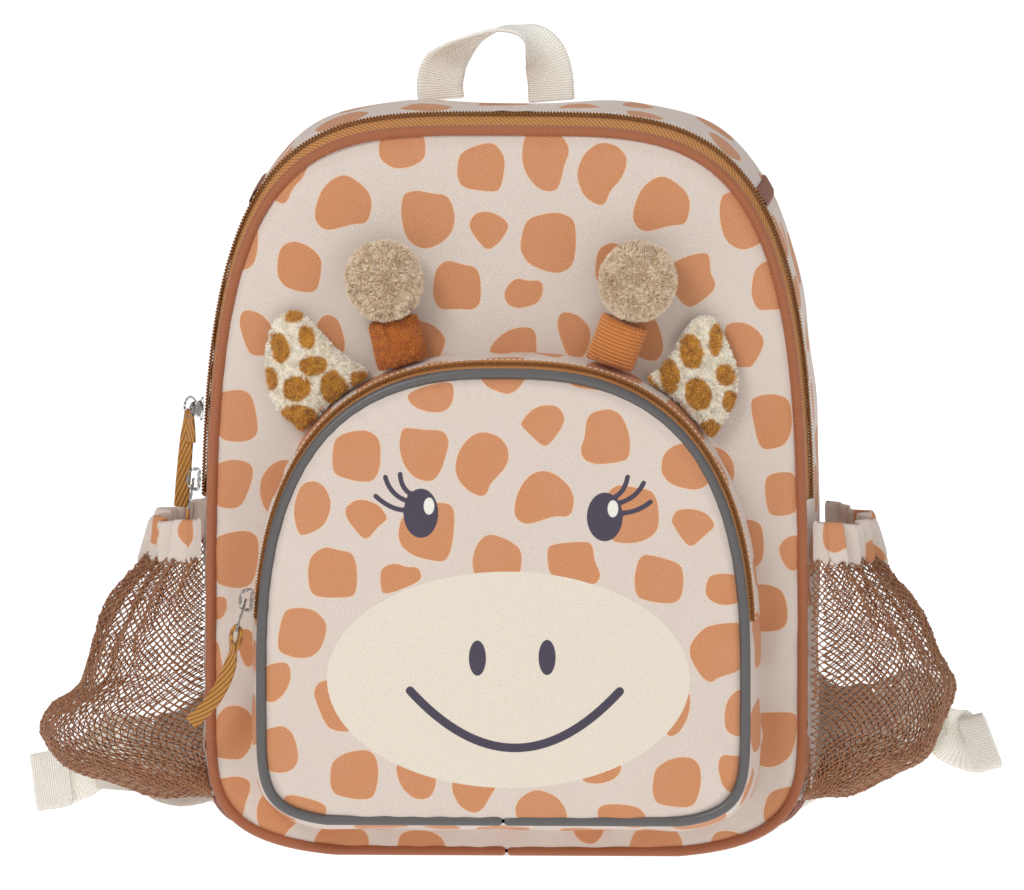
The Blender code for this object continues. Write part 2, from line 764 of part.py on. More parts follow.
def net_pocket(side, sign):
    """A pouch of knotted net with diamond gaps, and the gathered hem that holds its mouth."""
    bm = bmesh.new()
    knots = {}
    for i in range(NET_ACROSS + 1):
        for j in range(NET_UP + 1):
            if (i + j) % 2 == 0:
                point = net_point(side, i / NET_ACROSS, j / NET_UP)
                knots[i, j] = bm.verts.new((point.x * sign, point.y, point.z))
    cells = []
    for i in range(NET_ACROSS + 1):
        for j in range(NET_UP + 1):
            if (i + j) % 2 == 1:
                corners = [(i - 1, j), (i, j - 1), (i + 1, j), (i, j + 1)]
                loop = [knots[c] for c in corners if c in knots]
                if len(loop) >= 3:
                    cells.append(bm.faces.new(loop))
    bm.normal_update()
    bmesh.ops.inset_individual(bm, faces=cells, thickness=NET_STRAND / 2, use_even_offset=True)
    bmesh.ops.delete(bm, geom=cells, context="FACES")
    made = add_object(f"net_{side}", bm, NET_TWINE, 180)
    thick = made.modifiers.new("thickness", "SOLIDIFY")
    thick.thickness = NET_WALL
    thick.offset = 0.0

    sections = []
    steps = 32
    for i in range(steps + 1):
        around = i / steps
        ruffle = HEM_RUFFLE * math.sin(around * 11 * 2 * math.pi) * math.sin(math.pi * around)
        low = net_point(side, around, 1.0)
        section = []
        lift = NET_WALL / 2 + GAP
        for thickness in (1, -1):
            for share in (0.0, 1.0) if thickness > 0 else (1.0, 0.0):
                x = low.x + HEM_WALL / 2 + thickness * HEM_WALL / 2
                x += ruffle * (0.4 + 0.6 * share) - 0.08 * share * (low.x - side_foot(low.z, low.y))
                x = max(x, side_foot(low.z + HEM_HEIGHT * share, low.y) + GAP + HEM_WALL * (thickness > 0))
                section.append(Vector((x * sign, low.y, low.z + lift + HEM_HEIGHT * share)))
        sections.append(section)
    loft(f"net_hem_{side}", sections, PRINT)


def net_binding(side, sign):
    """The tape that binds the foot of the net to the gusset, from its front to its back."""
    high = NET_LOW - NET_WALL
    places = [BODY.share_at_height(high - BINDING_HEIGHT * k / 2) for k in range(3)]
    stations = [BODY.station(share if sign > 0 else 1 - share) for share in places]
    depths = (body_share(NET_FRONT), 0.07, 0.30, 0.62, 0.86, body_share(NET_BACK))
    sections = body_wall(stations, depths, BINDING_WALL, -BINDING_WALL - GAP)
    loft(f"net_binding_{side}", sections, BAND_TAPE)


def band_sections(points, widths, half_width, half_wall):
    """Sections of a flat band through points, each with its own width direction."""
    sections = []
    count = len(points)
    for i, (point, across) in enumerate(zip(points, widths)):
        ahead = points[min(count - 1, i + 1)] - points[max(0, i - 1)]
        across = (across - ahead * across.dot(ahead) / ahead.length_squared).normalized()
        face = across.cross(ahead).normalized()
        corners = ((-1, -1), (1, -1), (1, 1), (-1, 1))
        sections.append(
            [point + across * (a * half_width) + face * (b * half_wall) for a, b in corners]
        )
    return sections


def handle():
    """The grab handle: one length of webbing that turns over at its crest."""
    y = BACK - HANDLE_SET
    points, widths = [], []
    for across, up, turn in HANDLE_ROUTE:
        x = HANDLE_OFFSET + across * HANDLE_SPAN
        station = BODY.station(BODY.share_over(x))
        seat = placed(station, body_out(station, body_share(y)), y).z + 4 * GAP
        points.append(Vector((x, y - HANDLE_SLANT * math.sin(math.radians(turn)), seat + up * HANDLE_RISE)))
        lean = math.radians(turn)
        widths.append(Vector((math.cos(lean), math.sin(lean), 0.0)))
    loft("handle", band_sections(points, widths, HANDLE_WIDTH / 2, WEB_WALL / 2), CREAM_WEB)


def back_surface(x, z):
    """Depth of the padded back's outer side."""
    middle = (BODY_TOP + BASE_RISE) / 2
    across = min(1.0, abs(2 * x / BODY_WIDTH))
    up = min(1.0, abs(z - middle) / (BODY_TOP - middle))
    return BACK + BACK_DOME * (1 - across**2.2) * (1 - up**2.2)


def strap(side, sign, end_rise):
    """A padded shoulder strap that runs down the back and swings out past the side."""
    points = []
    for across, up, lift in STRAP_ROUTE:
        x = across * BODY_WIDTH / 2
        z = up * BODY_TOP + end_rise * max(0.0, across - 0.85)
        seat = max(back_surface(x + step * STRAP_WIDTH / 2, z) for step in (-1, 0, 1))
        points.append(Vector((sign * x, seat + GAP + STRAP_WALL / 2 + lift * STRAP_LIFT, z)))
    sections = []
    count = len(points)
    profile = (
        (-1, -0.35),
        (-0.85, -1),
        (0.85, -1),
        (1, -0.35),
        (1, 0.35),
        (0.85, 1),
        (-0.85, 1),
        (-1, 0.35),
    )
    for i, point in enumerate(points):
        ahead = points[min(count - 1, i + 1)] - points[max(0, i - 1)]
        ahead.y = 0.0
        across = ahead.cross(Vector((0, 1, 0))).normalized()
        taper = 1.0 if 0 < i < count - 1 else 0.80
        sections.append(
            [
                point + across * (a * taper * STRAP_WIDTH / 2) + Vector((0, b * STRAP_WALL / 2, 0))
                for a, b in profile
            ]
        )
    loft(f"strap_{side}", sections, PRINT)
    return points[-1], (points[-1] - points[-2]).normalized()


def ladder_lock(side, start, along):
    """A moulded frame with three bars, whose two slots take the webbing."""
    across = along.cross(Vector((0, 1, 0))).normalized()
    slot_width = WEB_WIDTH + LOCK_CLEARANCE
    runs = [0.0]
    for step in (LOCK_BAR, LOCK_SLOT, LOCK_BAR, LOCK_SLOT, LOCK_BAR):
        runs.append(runs[-1] + step)
    half = slot_width / 2
    widths = (-half - LOCK_FRAME, -half, half, half + LOCK_FRAME)
    bm = bmesh.new()
    grid = [
        [
            bm.verts.new(start + along * run + across * wide - Vector((0, LOCK_WALL / 2, 0)))
            for wide in widths
        ]
        for run in runs
    ]
    plates = []
    for i in range(len(runs) - 1):
        for j in range(len(widths) - 1):
            if j == 1 and i in (1, 3):
                continue
            corners = (grid[i][j], grid[i + 1][j], grid[i + 1][j + 1], grid[i][j + 1])
            plates.append(bm.faces.new(corners))
    raised = bmesh.ops.extrude_face_region(bm, geom=plates, use_keep_orig=True)
    for item in raised["geom"]:
        if isinstance(item, bmesh.types.BMVert):
            item.co.y += LOCK_WALL
    add_object(f"ladder_lock_{side}", bm, LOCK_PLASTIC)
    return [start + along * (runs[k] + runs[k + 1]) / 2 for k in (1, 2, 3)]


def webbing(side, sign, end_rise, slots, along, tail):
    """One length of webbing: from the bottom corner, through the lock, to its folded end."""
    points = []
    for across, up, lift in WEB_START:
        x = across * BODY_WIDTH / 2
        z = up * BODY_TOP + end_rise * max(0.0, across - 0.85)
        seat = max(back_surface(x + step * WEB_WIDTH / 2, z) for step in (-1, 0, 1))
        points.append(Vector((sign * x, seat + GAP + WEB_WALL / 2 + lift * WEB_LIFT, z)))
    over = Vector((0, LOCK_WALL / 2 + WEB_WALL / 2 + 3 * GAP, 0))
    first, bar, second = slots
    points.append(first + over * 2.2 - along * LOCK_SLOT * 0.4)
    points.append(first)
    points.append(bar - over - along * LOCK_BAR / 2)
    points.append(bar - over + along * LOCK_BAR / 2)
    points.append(second)
    points.append(second + over * 1.6 + along * LOCK_SLOT * 0.6)
    for out, drop, depth in tail:
        points.append(second + Vector((sign * out, depth, drop)) * WEB_WIDTH)
    upright = along.cross(Vector((0, 1, 0))).normalized()
    walls = [WEB_WALL / 2] * (len(points) - 2) + [WEB_HEM_WALL / 2] * 2
    sections = []
    for i, point in enumerate(points):
        ahead = points[min(len(points) - 1, i + 1)] - points[max(0, i - 1)]
        face = upright.cross(ahead).normalized()
        corners = ((-1, -1), (1, -1), (1, 1), (-1, 1))
        sections.append(
            [point + upright * (a * WEB_WIDTH / 2) + face * (b * walls[i]) for a, b in corners]
        )
    loft(f"webbing_{side}", sections, CREAM_WEB)


def closed_band(name, path, across, widths, wall, finish):
    """A band bent into a closed loop: its middle line, the direction and half of its width."""
    sections = []
    for i, point in enumerate(path):
        ahead = path[(i + 1) % len(path)] - path[i - 1]
        face = across.cross(ahead).normalized()
        corners = ((-1, -1), (1, -1), (1, 1), (-1, 1))
        sections.append(
            [point + across * (a * widths[i]) + face * (b * wall / 2) for a, b in corners]
        )
    return loft(name, sections, finish, closed=True)


def slider(name, seat, out, along, across, length, wide):
    """A zip slider: a plate with a bridge over it, open from side to side."""
    path = []
    widths = []
    wall = SLIDER_WALL
    for run, rise, width in (
        (-1.0, 0.0, 0.8),
        (-0.35, 0.0, 1.0),
        (0.35, 0.0, 1.0),
        (1.0, 0.0, 0.8),
        (1.0, 0.6, 0.6),
        (0.6, 1.0, SLIDER_BRIDGE / SLIDER_WIDE),
        (-0.6, 1.0, SLIDER_BRIDGE / SLIDER_WIDE),
        (-1.0, 0.6, 0.6),
    ):
        step = along * (run * (length - wall) / 2)
        path.append(seat + out * (wall / 2 + rise * (SLIDER_WINDOW + wall)) + step)
        widths.append(width * wide / 2)
    closed_band(name, path, across, widths, wall, NICKEL)
    return seat + out * (wall + SLIDER_WINDOW / 2)


def pull(name, top, down, across, length, spread, finish):
    """A length of narrow webbing folded over what it hangs from, its two layers sewn together."""
    face = across.cross(down).normalized()
    steps = 5
    layer = PULL_WALL + GAP
    path = [top - down * (spread / 2 + PULL_WALL / 2)]
    for side in (1, -1):
        leg = []
        for k in range(steps + 1):
            share = k / steps
            gap = layer / 2 + (spread / 2 + PULL_WALL / 2 - layer / 2) * (1 - share) ** 3
            leg.append(top + down * (share * length) + face * (side * gap))
        path += leg if side > 0 else leg[::-1]
    growth = (PULL_WIDTH - PULL_FOLD_WIDTH) / 2
    grown = [PULL_FOLD_WIDTH / 2 + growth * min(1, k / 2) for k in range(steps + 1)]
    widths = [PULL_FOLD_WIDTH / 2] + grown + grown[::-1]
    closed_band(name, path, across, widths, PULL_WALL, finish)


def wire_ring(name, centre, radial, up, wire, size, finish):
    """A round wire ring in the plane of two directions."""
    normal = radial.cross(up).normalized()
    sections = []
    sides = 6
    around = 14
    radius = (size - wire) / 2
    for i in range(around):
        turn = 2 * math.pi * i / around
        spoke = radial * math.cos(turn) + up * math.sin(turn)
        ring_point = centre + spoke * radius
        sections.append(
            [
                ring_point
                + spoke * (wire / 2 * math.cos(2 * math.pi * k / sides))
                + normal * (wire / 2 * math.sin(2 * math.pi * k / sides))
                for k in range(sides)
            ]
        )
    return loft(name, sections, finish, closed=True)


def tab(name, top, down, across, finish):
    """A flat metal loop that hangs in a slider's bridge and holds a webbing pull at its foot."""
    rim = TAB_BAR
    path = []
    widths = []
    half = TAB_WIDE / 2 - rim / 2
    for run, side in (
        (0.0, 0.0),
        (0.06, 0.8),
        (0.35, 1.0),
        (0.70, 0.9),
        (0.97, 0.7),
        (1.0, 0.0),
        (0.97, -0.7),
        (0.70, -0.9),
        (0.35, -1.0),
        (0.06, -0.8),
    ):
        path.append(top + down * (run * (TAB_LENGTH - rim)) + across * (side * half))
        widths.append(rim / 2)
    thick = across.cross(down).normalized()
    closed_band(name, path, thick, widths, rim, finish)
    return top + down * (TAB_LENGTH - rim)


def body_zip_seat(height):
    """The top of the coil on the -X side at a height, with the directions out and along."""
    station = BODY.station(1 - BODY.share_at_height(height))
    y = SEAM_FRONT + BODY_ZIP_COIL_AT
    stand = body_out(station, body_share(y)) + ZIP_COIL_HEIGHT + GAP
    out = Vector((station.out_x, 0.0, station.out_z))
    along = Vector((station.out_z, 0.0, -station.out_x))
    return placed(station, stand, y), out, along


def turned_to_rear(out, degrees):
    """A direction out of the bag's side, turned towards its back."""
    turn = math.radians(degrees)
    return out * math.cos(turn) + Vector((0, 1, 0)) * math.sin(turn)


def zip_pulls():
    """The two sliders of the body's zip and the one of the pocket, with all that hangs on them."""
    deep = Vector((0, 1, 0))
    seat, out, along = body_zip_seat(SLIDER_HEIGHT)
    window = slider("main_slider", seat, out, deep, along, SLIDER_WIDE, SLIDER_LENGTH)
    radial = turned_to_rear(out, RING_TURN)
    centre = window + radial * (RING_SIZE / 2 - RING_WIRE / 2)
    wire_ring("main_ring", centre, radial, along, RING_WIRE, RING_SIZE, NICKEL)
    lean = (Vector((0, 0, -1)) + out * 0.10 + deep * 0.14).normalized()
    hang = centre + (radial * 0.25 - along).normalized() * (RING_SIZE - RING_WIRE) / 2
    flat = turned_to_rear(out, PULL_TURN)
    flat = (flat - lean * flat.dot(lean)).normalized()
    pull("main_puller", hang, lean, flat, PULL_LENGTH, RING_WIRE + 9 * GAP, OCHRE_WEB)

    seat, out, along = body_zip_seat(LOW_SLIDER_HEIGHT)
    window = slider("low_slider", seat, out, along, deep, SLIDER_LENGTH, SLIDER_WIDE)
    lean = (Vector((0, 0, -1)) + out * 0.16).normalized()
    foot = tab("low_tab", window, lean, deep, NICKEL)
    pull("low_puller", foot, Vector((0, 0, -1)), deep, LOW_PULL_LENGTH, TAB_BAR + 8 * GAP, OCHRE_WEB)

    station = POCKET.station(1 - POCKET.share_at_height(POCKET_SLIDER_HEIGHT))
    y = POCKET_SEAM + POCKET_ZIP_COIL_AT
    out = Vector((station.out_x, 0.0, station.out_z))
    along = Vector((station.out_z, 0.0, -station.out_x))
    seat = pocket_point(station, y) + out * (ZIP_COIL_HEIGHT + GAP)
    window = slider("pocket_slider", seat, out, along, deep, SLIDER_LENGTH, SLIDER_WIDE)
    lean = (Vector((0, 0, -1)) + out * 0.30).normalized()
    foot = tab("pocket_tab", window, lean, deep, NICKEL)
    lean = (Vector((0, 0.1, -1)) + out * 0.55).normalized()
    pull("pocket_puller", foot, lean, deep, POCKET_PULL_LENGTH, TAB_BAR + 8 * GAP, OCHRE_WEB)


def main():
    clear_scene()
    body_shell()
    gusset_bands()
    front_pocket()
    horn("left", -12, -12)
    horn("right", 21, 18)
    ear("left", EAR_LEFT)
    ear("right", EAR_RIGHT)
    for side, sign in (("left", -1), ("right", 1)):
        net_pocket(side, sign)
        net_binding(side, sign)
        end, along = strap(side, sign, STRAP_END_RISE[side])
        lock_start = end + along * GAP
        slots = ladder_lock(side, lock_start, along)
        webbing(side, sign, STRAP_END_RISE[side], slots, along, WEB_TAIL[side])
    handle()
    zip_pulls()


PRINT = material("printed polyester", (0.78, 0.70, 0.64), 0.60)
PIPING_TAPE = material("terracotta piping tape", (0.38, 0.15, 0.07), 0.55)
BACKING = material("plain padded back", (0.60, 0.54, 0.48), 0.75)
ZIP_TAPE = material("caramel zip tape", (0.42, 0.18, 0.04), 0.65)
COIL = material("nylon coil", (0.50, 0.25, 0.08), 0.40)
BAND_TAPE = material("brown seam tape", (0.28, 0.12, 0.07), 0.65)
GREY_TAPE = material("grey reflective piping", (0.16, 0.17, 0.17), 0.45)
STEM_KNIT = material("orange knit", (0.62, 0.25, 0.06), 0.90)
KNOB_PLUSH = material("beige plush", (0.66, 0.52, 0.38), 0.95)
EAR_PLUSH = material("cream spotted plush", (0.84, 0.76, 0.62), 0.95)
NET_TWINE = material("brown net twine", (0.28, 0.13, 0.07), 0.60)
OCHRE_WEB = material("ochre ribbed webbing", (0.57, 0.26, 0.03), 0.75)
NICKEL = material("nickel plated zinc", (0.72, 0.71, 0.69), 0.25, 1.0)
LOCK_PLASTIC = material("cream acetal", (0.78, 0.72, 0.60), 0.40)
CREAM_WEB = material("cream webbing", (0.80, 0.76, 0.66), 0.80)

main()
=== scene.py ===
"""A small child's backpack with a giraffe print, plush horns and ears, and net side pockets.

Metres, +Z up, front towards -Y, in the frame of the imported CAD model.
"""

import math
from collections import namedtuple

import bpy
import numpy as np
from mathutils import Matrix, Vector


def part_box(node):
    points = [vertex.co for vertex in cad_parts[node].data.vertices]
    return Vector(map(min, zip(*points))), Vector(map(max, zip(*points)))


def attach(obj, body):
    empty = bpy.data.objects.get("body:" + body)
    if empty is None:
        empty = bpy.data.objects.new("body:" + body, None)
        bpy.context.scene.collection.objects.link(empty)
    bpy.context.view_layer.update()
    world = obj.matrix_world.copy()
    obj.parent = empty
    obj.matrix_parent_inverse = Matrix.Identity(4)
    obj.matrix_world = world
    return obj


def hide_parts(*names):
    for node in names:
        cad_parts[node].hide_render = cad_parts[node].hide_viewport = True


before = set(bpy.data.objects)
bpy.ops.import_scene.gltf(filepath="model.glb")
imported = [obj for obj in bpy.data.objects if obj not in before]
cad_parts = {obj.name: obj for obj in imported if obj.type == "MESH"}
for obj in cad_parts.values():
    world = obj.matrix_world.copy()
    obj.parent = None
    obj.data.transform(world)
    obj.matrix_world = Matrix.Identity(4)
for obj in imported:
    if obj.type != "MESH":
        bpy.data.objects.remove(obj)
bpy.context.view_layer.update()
MM = 0.001

# The camera stands far off, a little above the bag and to its right, as in the photograph.
# 441.5 mm of the bag's front plane fill the width of the picture.
PICTURE_SPAN = 0.4415
LENS = 1500.0
SENSOR = 36.0
AZIMUTH = 2.5
ELEVATION = 5.5
AIM = Vector((0.0024, -0.050, 0.1798))

lens_data = bpy.data.cameras.new("camera")
lens_data.lens = LENS
lens_data.sensor_width = SENSOR
lens_data.clip_end = 100.0
camera = bpy.data.objects.new("camera", lens_data)
bpy.context.scene.collection.objects.link(camera)
bpy.context.scene.camera = camera
turn, rise = math.radians(AZIMUTH), math.radians(ELEVATION)
from_bag = Vector((math.sin(turn) * math.cos(rise), -math.cos(turn) * math.cos(rise), math.sin(rise)))
camera.location = AIM + from_bag * (PICTURE_SPAN * LENS / SENSOR)
camera.rotation_euler = (-from_bag).to_track_quat("-Z", "Y").to_euler()

# The body's front panel is woven polyester, printed with giraffe spots and sewn into an arch.
# A soft filling swells it forward; its edge is caught under the piping, which puckers it a little.
BODY_WIDTH = 0.260
BODY_TOP = 0.318
BODY_WIDEST = 0.070
BODY_ARCH = 4.0
BODY_FOOT = 4.3
BASE_RISE = 0.0015
FOOT_FLAT = 1.022
FRONT, BACK = -0.050, 0.050
PANEL_DOME = 0.005
PANEL_SET = 0.0010
PIPING = 0.0046
THREAD_PITCH = 0.85  # of the twill, in millimetres, about twice the real one so that it shows

# Spots of the printed repeat, which is 137.3 by 103.5 mm: the corners of each, across and up, in mm
REPEAT_WIDTH, REPEAT_HEIGHT = 137.3, 103.5
REPEAT_FROM = 216.0
REPEAT_DOWN_TO = 0.2125  # below this height the front has spots of its own
PRINT_REPEAT = (
    ((-55, 311), (-55, 303.5), (-48.5, 299), (-41, 300), (-35, 303.5), (-35, 311), (-37.5, 316),
     (-52.5, 316)),
    ((-20.5, 305.5), (-15.5, 308.5), (-6, 311), (-1.5, 306), (-0.5, 301.5), (-2.5, 290), (-7, 289.5),
     (-19, 291), (-21.5, 296.5)),
    ((66.5, 296.5), (70.5, 295.5), (77.5, 290), (79.5, 284.5), (77.5, 275.5), (71.5, 275.5),
     (59.5, 272), (55, 276), (54.5, 281), (57.5, 290), (62, 294.5)),
    ((-44, 288.5), (-39, 290), (-32, 288.5), (-26, 288), (-23.5, 284.5), (-22, 278), (-23.5, 271.5),
     (-29, 266.5), (-35.5, 264.5), (-41, 267), (-44, 271.5), (-45.5, 280), (-45, 286)),
    ((-16, 276.5), (-13, 280.5), (-7, 281), (-1, 278), (1.5, 274.5), (-3, 267.5), (-8, 264),
     (-12, 268), (-15.5, 273)),
    ((-29, 257.5), (-25.5, 260), (-19, 258), (-13, 257), (-11, 252), (-11, 241.5), (-14, 238.5),
     (-21.5, 239), (-29, 238.5), (-31.5, 244.5), (-31.5, 249), (-30.5, 255)),
    ((40, 265.5), (45.5, 268), (52.5, 265.5), (57.5, 260.5), (57.5, 255), (55.5, 245), (43, 247),
     (38.5, 252), (38.5, 259)),
    ((22.5, 236), (25, 238), (31, 236.5), (36, 231.5), (36.5, 226), (34, 218.5), (30, 218), (26, 219),
     (22, 231)),
    ((56, 233), (59.5, 236.5), (64.5, 234.5), (66.5, 229.5), (68, 222.5), (66, 217.5), (62, 216.5),
     (56, 219), (54, 225.5)),
    ((-43.5, 230), (-41.5, 233), (-35.5, 233.5), (-30, 231), (-26, 226), (-27, 221.5), (-30.5, 215.5),
     (-34.5, 211.5), (-38, 214), (-41.5, 221)),
    ((-7.5, 219.5), (-6, 224), (-0.5, 229), (5, 231), (11, 231), (13, 228), (13, 219), (11, 212.5),
     (-3.5, 212.5)),
    ((8.5, 278), (18.5, 280.5), (23.5, 280.5), (29, 278), (30, 273), (30, 264.5), (28.5, 257.5),
     (23.5, 254.5), (18, 255), (9.5, 258.5), (6.5, 263.5), (6, 267.5)),
    ((35, 307.5), (40.5, 311), (47.5, 309.5), (51.5, 305.5), (52, 301.5), (49.5, 295), (44.5, 290),
     (43, 285), (40.5, 283.5), (34, 287), (31, 293.5), (30.5, 298.5), (32.5, 304)),
    ((7.5, 312), (6.5, 304), (8.5, 297), (13.5, 291), (18.5, 289.5), (22, 290.5), (23.5, 294.5),
     (25, 301.5), (27.5, 307.5), (23.5, 314.5), (9.5, 315.5)),
    ((-66, 259), (-58, 262.5), (-50.5, 263.5), (-49.5, 260.5), (-49.5, 255), (-46.5, 249),
     (-50.5, 244.5), (-57.5, 239.5), (-61.5, 241.5), (-65, 246.5), (-67, 252)),
    ((-1, 245), (0.5, 249), (4.5, 252.5), (9.5, 251), (14.5, 251.5), (16, 249), (15.5, 244.5),
     (13, 241), (5, 239), (0.5, 241)),
)

# Spots in the lower part of the front panel, in the same way
LOW_SPOTS = (
    ((-121.5, 202.5), (-114, 203.5), (-109.5, 200.5), (-107, 187), (-108.5, 182.5), (-114, 180.5),
     (-124, 181.5), (-127, 191.5), (-125.5, 200.5)),
    ((105, 199), (108, 201.5), (115, 202.5), (122, 200.5), (123.5, 188.5), (120.5, 180), (111.5, 178),
     (108.5, 181)),
    ((-127, 170), (-120, 173), (-113.5, 172.5), (-109.5, 170.5), (-109.5, 164.5), (-114, 153),
     (-119, 151.5), (-127, 153)),
    ((-106.5, 158.5), (-106, 164.5), (-103, 169.5), (-98, 173), (-91.5, 173), (-87.5, 163),
     (-91.5, 151.5), (-101, 147.5), (-105, 153)),
    ((-127, 139), (-117, 142), (-110.5, 142), (-107, 139), (-107, 130.5), (-108.5, 122), (-111.5, 118),
     (-117, 117), (-127, 119.5)),
    ((-129.5, 111), (-125, 113.5), (-121.5, 113.5), (-120.5, 109.5), (-122, 105), (-125, 103),
     (-129.5, 104)),
    ((-116, 95.5), (-115, 99.5), (-110.5, 99.5), (-107, 92.5), (-108.5, 85.5), (-112, 82),
     (-115, 88.5)),
    ((-129.5, 92.5), (-125, 94), (-124, 92), (-122, 78.5), (-122.5, 73.5), (-128.5, 72)),
    ((-126, 60), (-121.5, 66), (-115.5, 66.5), (-110.5, 63.5), (-109.5, 57.5), (-110, 49), (-114, 43),
     (-120, 43), (-127.5, 44)),
    ((-127, 33.5), (-117, 36), (-111, 34), (-110.5, 30.5), (-113, 23.5), (-114, 18), (-117.5, 16),
     (-122.5, 19.5), (-127, 26.5)),
    ((-108, 18), (-107.5, 24), (-104, 29.5), (-98.5, 28.5), (-91.5, 23.5), (-88, 18), (-94.5, 12.5),
     (-96.5, 8.5), (-101.5, 9), (-106.5, 12.5)),
    ((-84, 4.5), (-82, 11), (-77.5, 14.5), (-69, 14.5), (-62, 13), (-59.5, 9.5), (-59.5, 4.5),
     (-62, -1), (-80.5, -1)),
    ((-47.5, 4.5), (-46, 11), (-41, 12.5), (-34, 12.5), (-28.5, 10), (-25.5, 4.5), (-28.5, -1),
     (-44, -1)),
    ((27.5, 16.5), (42.5, 16.5), (42, 12.5), (40.5, 9.5), (37, 6.5), (32.5, 8), (30, 10)),
    ((53, 6), (54.5, 11), (57.5, 14), (64.5, 14.5), (73, 13.5), (76, 8.5), (76, 4), (70, -0.5),
     (54, 1)),
    ((88, 8.5), (90.5, 12.5), (96, 13), (102.5, 11), (101, 7.5), (96.5, 4.5), (89, 5)),
    ((111, 22), (113, 29), (118, 31.5), (127.5, 32.5), (129, 27.5), (125, 22), (120.5, 18),
     (113.5, 14.5), (111, 18)),
    ((107.5, 64), (115, 64.5), (125, 64.5), (125.5, 58.5), (124.5, 50.5), (122, 44.5), (116.5, 41),
     (111, 40.5), (107.5, 43), (109.5, 49), (111, 54.5), (109.5, 60)),
    ((101, 118), (110, 120.5), (118.5, 118), (121, 112), (121.5, 104), (119, 100.5), (113.5, 99.5),
     (106, 99.5), (101.5, 104), (100, 112)),
    ((96.5, 144.5), (104.5, 148.5), (110, 146), (111, 139.5), (111, 132), (108.5, 127.5),
     (103.5, 126.5), (98, 130.5)),
    ((117, 135.5), (120, 139.5), (125, 142), (129, 133.5), (125, 125), (120.5, 127)),
    ((111.5, 161.5), (112, 166.5), (116.5, 168.5), (125, 168.5), (126.5, 151.5), (119, 149.5),
     (113.5, 150), (112, 156)),
    ((81, 177), (88.5, 180), (94.5, 178), (98, 173), (98.5, 167), (96.5, 162), (89.5, 161.5),
     (82.5, 167)),
    ((106, 82.5), (107, 89.5), (109, 88.5), (109, 84), (107.5, 81.5)),
)


def linear(colour):
    """The linear RGBA of an sRGB hex colour."""
    channels = [int(colour[i : i + 2], 16) / 255 for i in (1, 3, 5)]
    return (*[c / 12.92 if c <= 0.04045 else ((c + 0.055) / 1.055) ** 2.4 for c in channels], 1.0)


def add_node(tree, kind, links=(), **settings):
    """Adds a node with its settings, and links or sets its inputs; returns its first output."""
    node = tree.nodes.new(kind)
    for name, value in settings.items():
        setattr(node, name, value)
    for socket, value in links:
        if isinstance(value, bpy.types.NodeSocket):
            tree.links.new(value, node.inputs[socket])
        else:
            node.inputs[socket].default_value = value
    return node.outputs[0] if node.outputs else node


def new_material(name, colour, roughness, height=None, relief=0.1, **sockets):
    """A Principled material. colour is a socket's maker or a hex, height a maker of relief in mm."""
    made = bpy.data.materials.new(name)
    made.use_nodes = True
    tree = made.node_tree
    shader = tree.nodes["Principled BSDF"]
    if callable(colour):
        tree.links.new(colour(tree), shader.inputs["Base Color"])
    else:
        shader.inputs["Base Color"].default_value = linear(colour)
    if callable(roughness):
        tree.links.new(roughness(tree), shader.inputs["Roughness"])
    else:
        shader.inputs["Roughness"].default_value = roughness
    for socket, value in sockets.items():
        shader.inputs[socket.replace("_", " ")].default_value = value
    if height:
        bump = add_node(
            tree,
            "ShaderNodeBump",
            (("Strength", 1.0), ("Distance", relief * MM), ("Height", height(tree))),
        )
        tree.links.new(bump, shader.inputs["Normal"])
    return made


def attribute(tree, name, output="Fac"):
    """A mesh's field."""
    return add_node(tree, "ShaderNodeAttribute", attribute_name=name).node.outputs[output]


def combine(tree, operation, *values):
    """A sum over sockets and numbers."""
    return add_node(tree, "ShaderNodeMath", enumerate(values), operation=operation)


def wave(tree, across, along, pitch):
    """Waves over a cloth, from 0 to 1: across and along give their direction, pitch is in mm."""
    rate = 2 * math.pi / pitch
    place = attribute(tree, "cloth", "Vector")
    run = add_node(
        tree,
        "ShaderNodeVectorMath",
        ((0, place), (1, (across * rate, along * rate, 0.0))),
        operation="DOT_PRODUCT",
    ).node.outputs["Value"]
    return combine(tree, "MULTIPLY_ADD", combine(tree, "SINE", run), 0.5, 0.5)


def mottle(tree, size, low, high, detail=3.0):
    """Soft noise with a grain of that size in mm, between two values."""
    place = add_node(tree, "ShaderNodeTexCoord").node.outputs["Object"]
    grain = add_node(
        tree,
        "ShaderNodeTexNoise",
        (("Vector", place), ("Scale", 1 / (size * MM)), ("Detail", detail)),
    )
    return add_node(tree, "ShaderNodeMapRange", ((0, grain), (1, 0.3), (2, 0.7), (3, low), (4, high)))


def crossings(tree):
    """Where the twill's threads cross: fine dots in slanting rows, from 0 to 1."""
    ribs = wave(tree, 0.80, 0.60, THREAD_PITCH)
    breaks = wave(tree, -0.60, 0.80, THREAD_PITCH)
    return combine(tree, "MULTIPLY", ribs, breaks)


def blend(tree, share, first, second):
    """Mixes two colours, each a hex or a socket, by a share."""
    colours = [c if isinstance(c, bpy.types.NodeSocket) else linear(c) for c in (first, second)]
    mix = add_node(
        tree, "ShaderNodeMix", ((0, share), (6, colours[0]), (7, colours[1])), data_type="RGBA"
    ).node
    return mix.outputs[2]


def inside(tree, name, at=0.0, soft=0.12):
    """1 where a distance in mm lies below a value and 0 above it, with a soft edge."""
    share = ((0, attribute(tree, name)), (1, at - soft), (2, at + soft), (3, 1.0), (4, 0.0))
    return add_node(tree, "ShaderNodeMapRange", share)


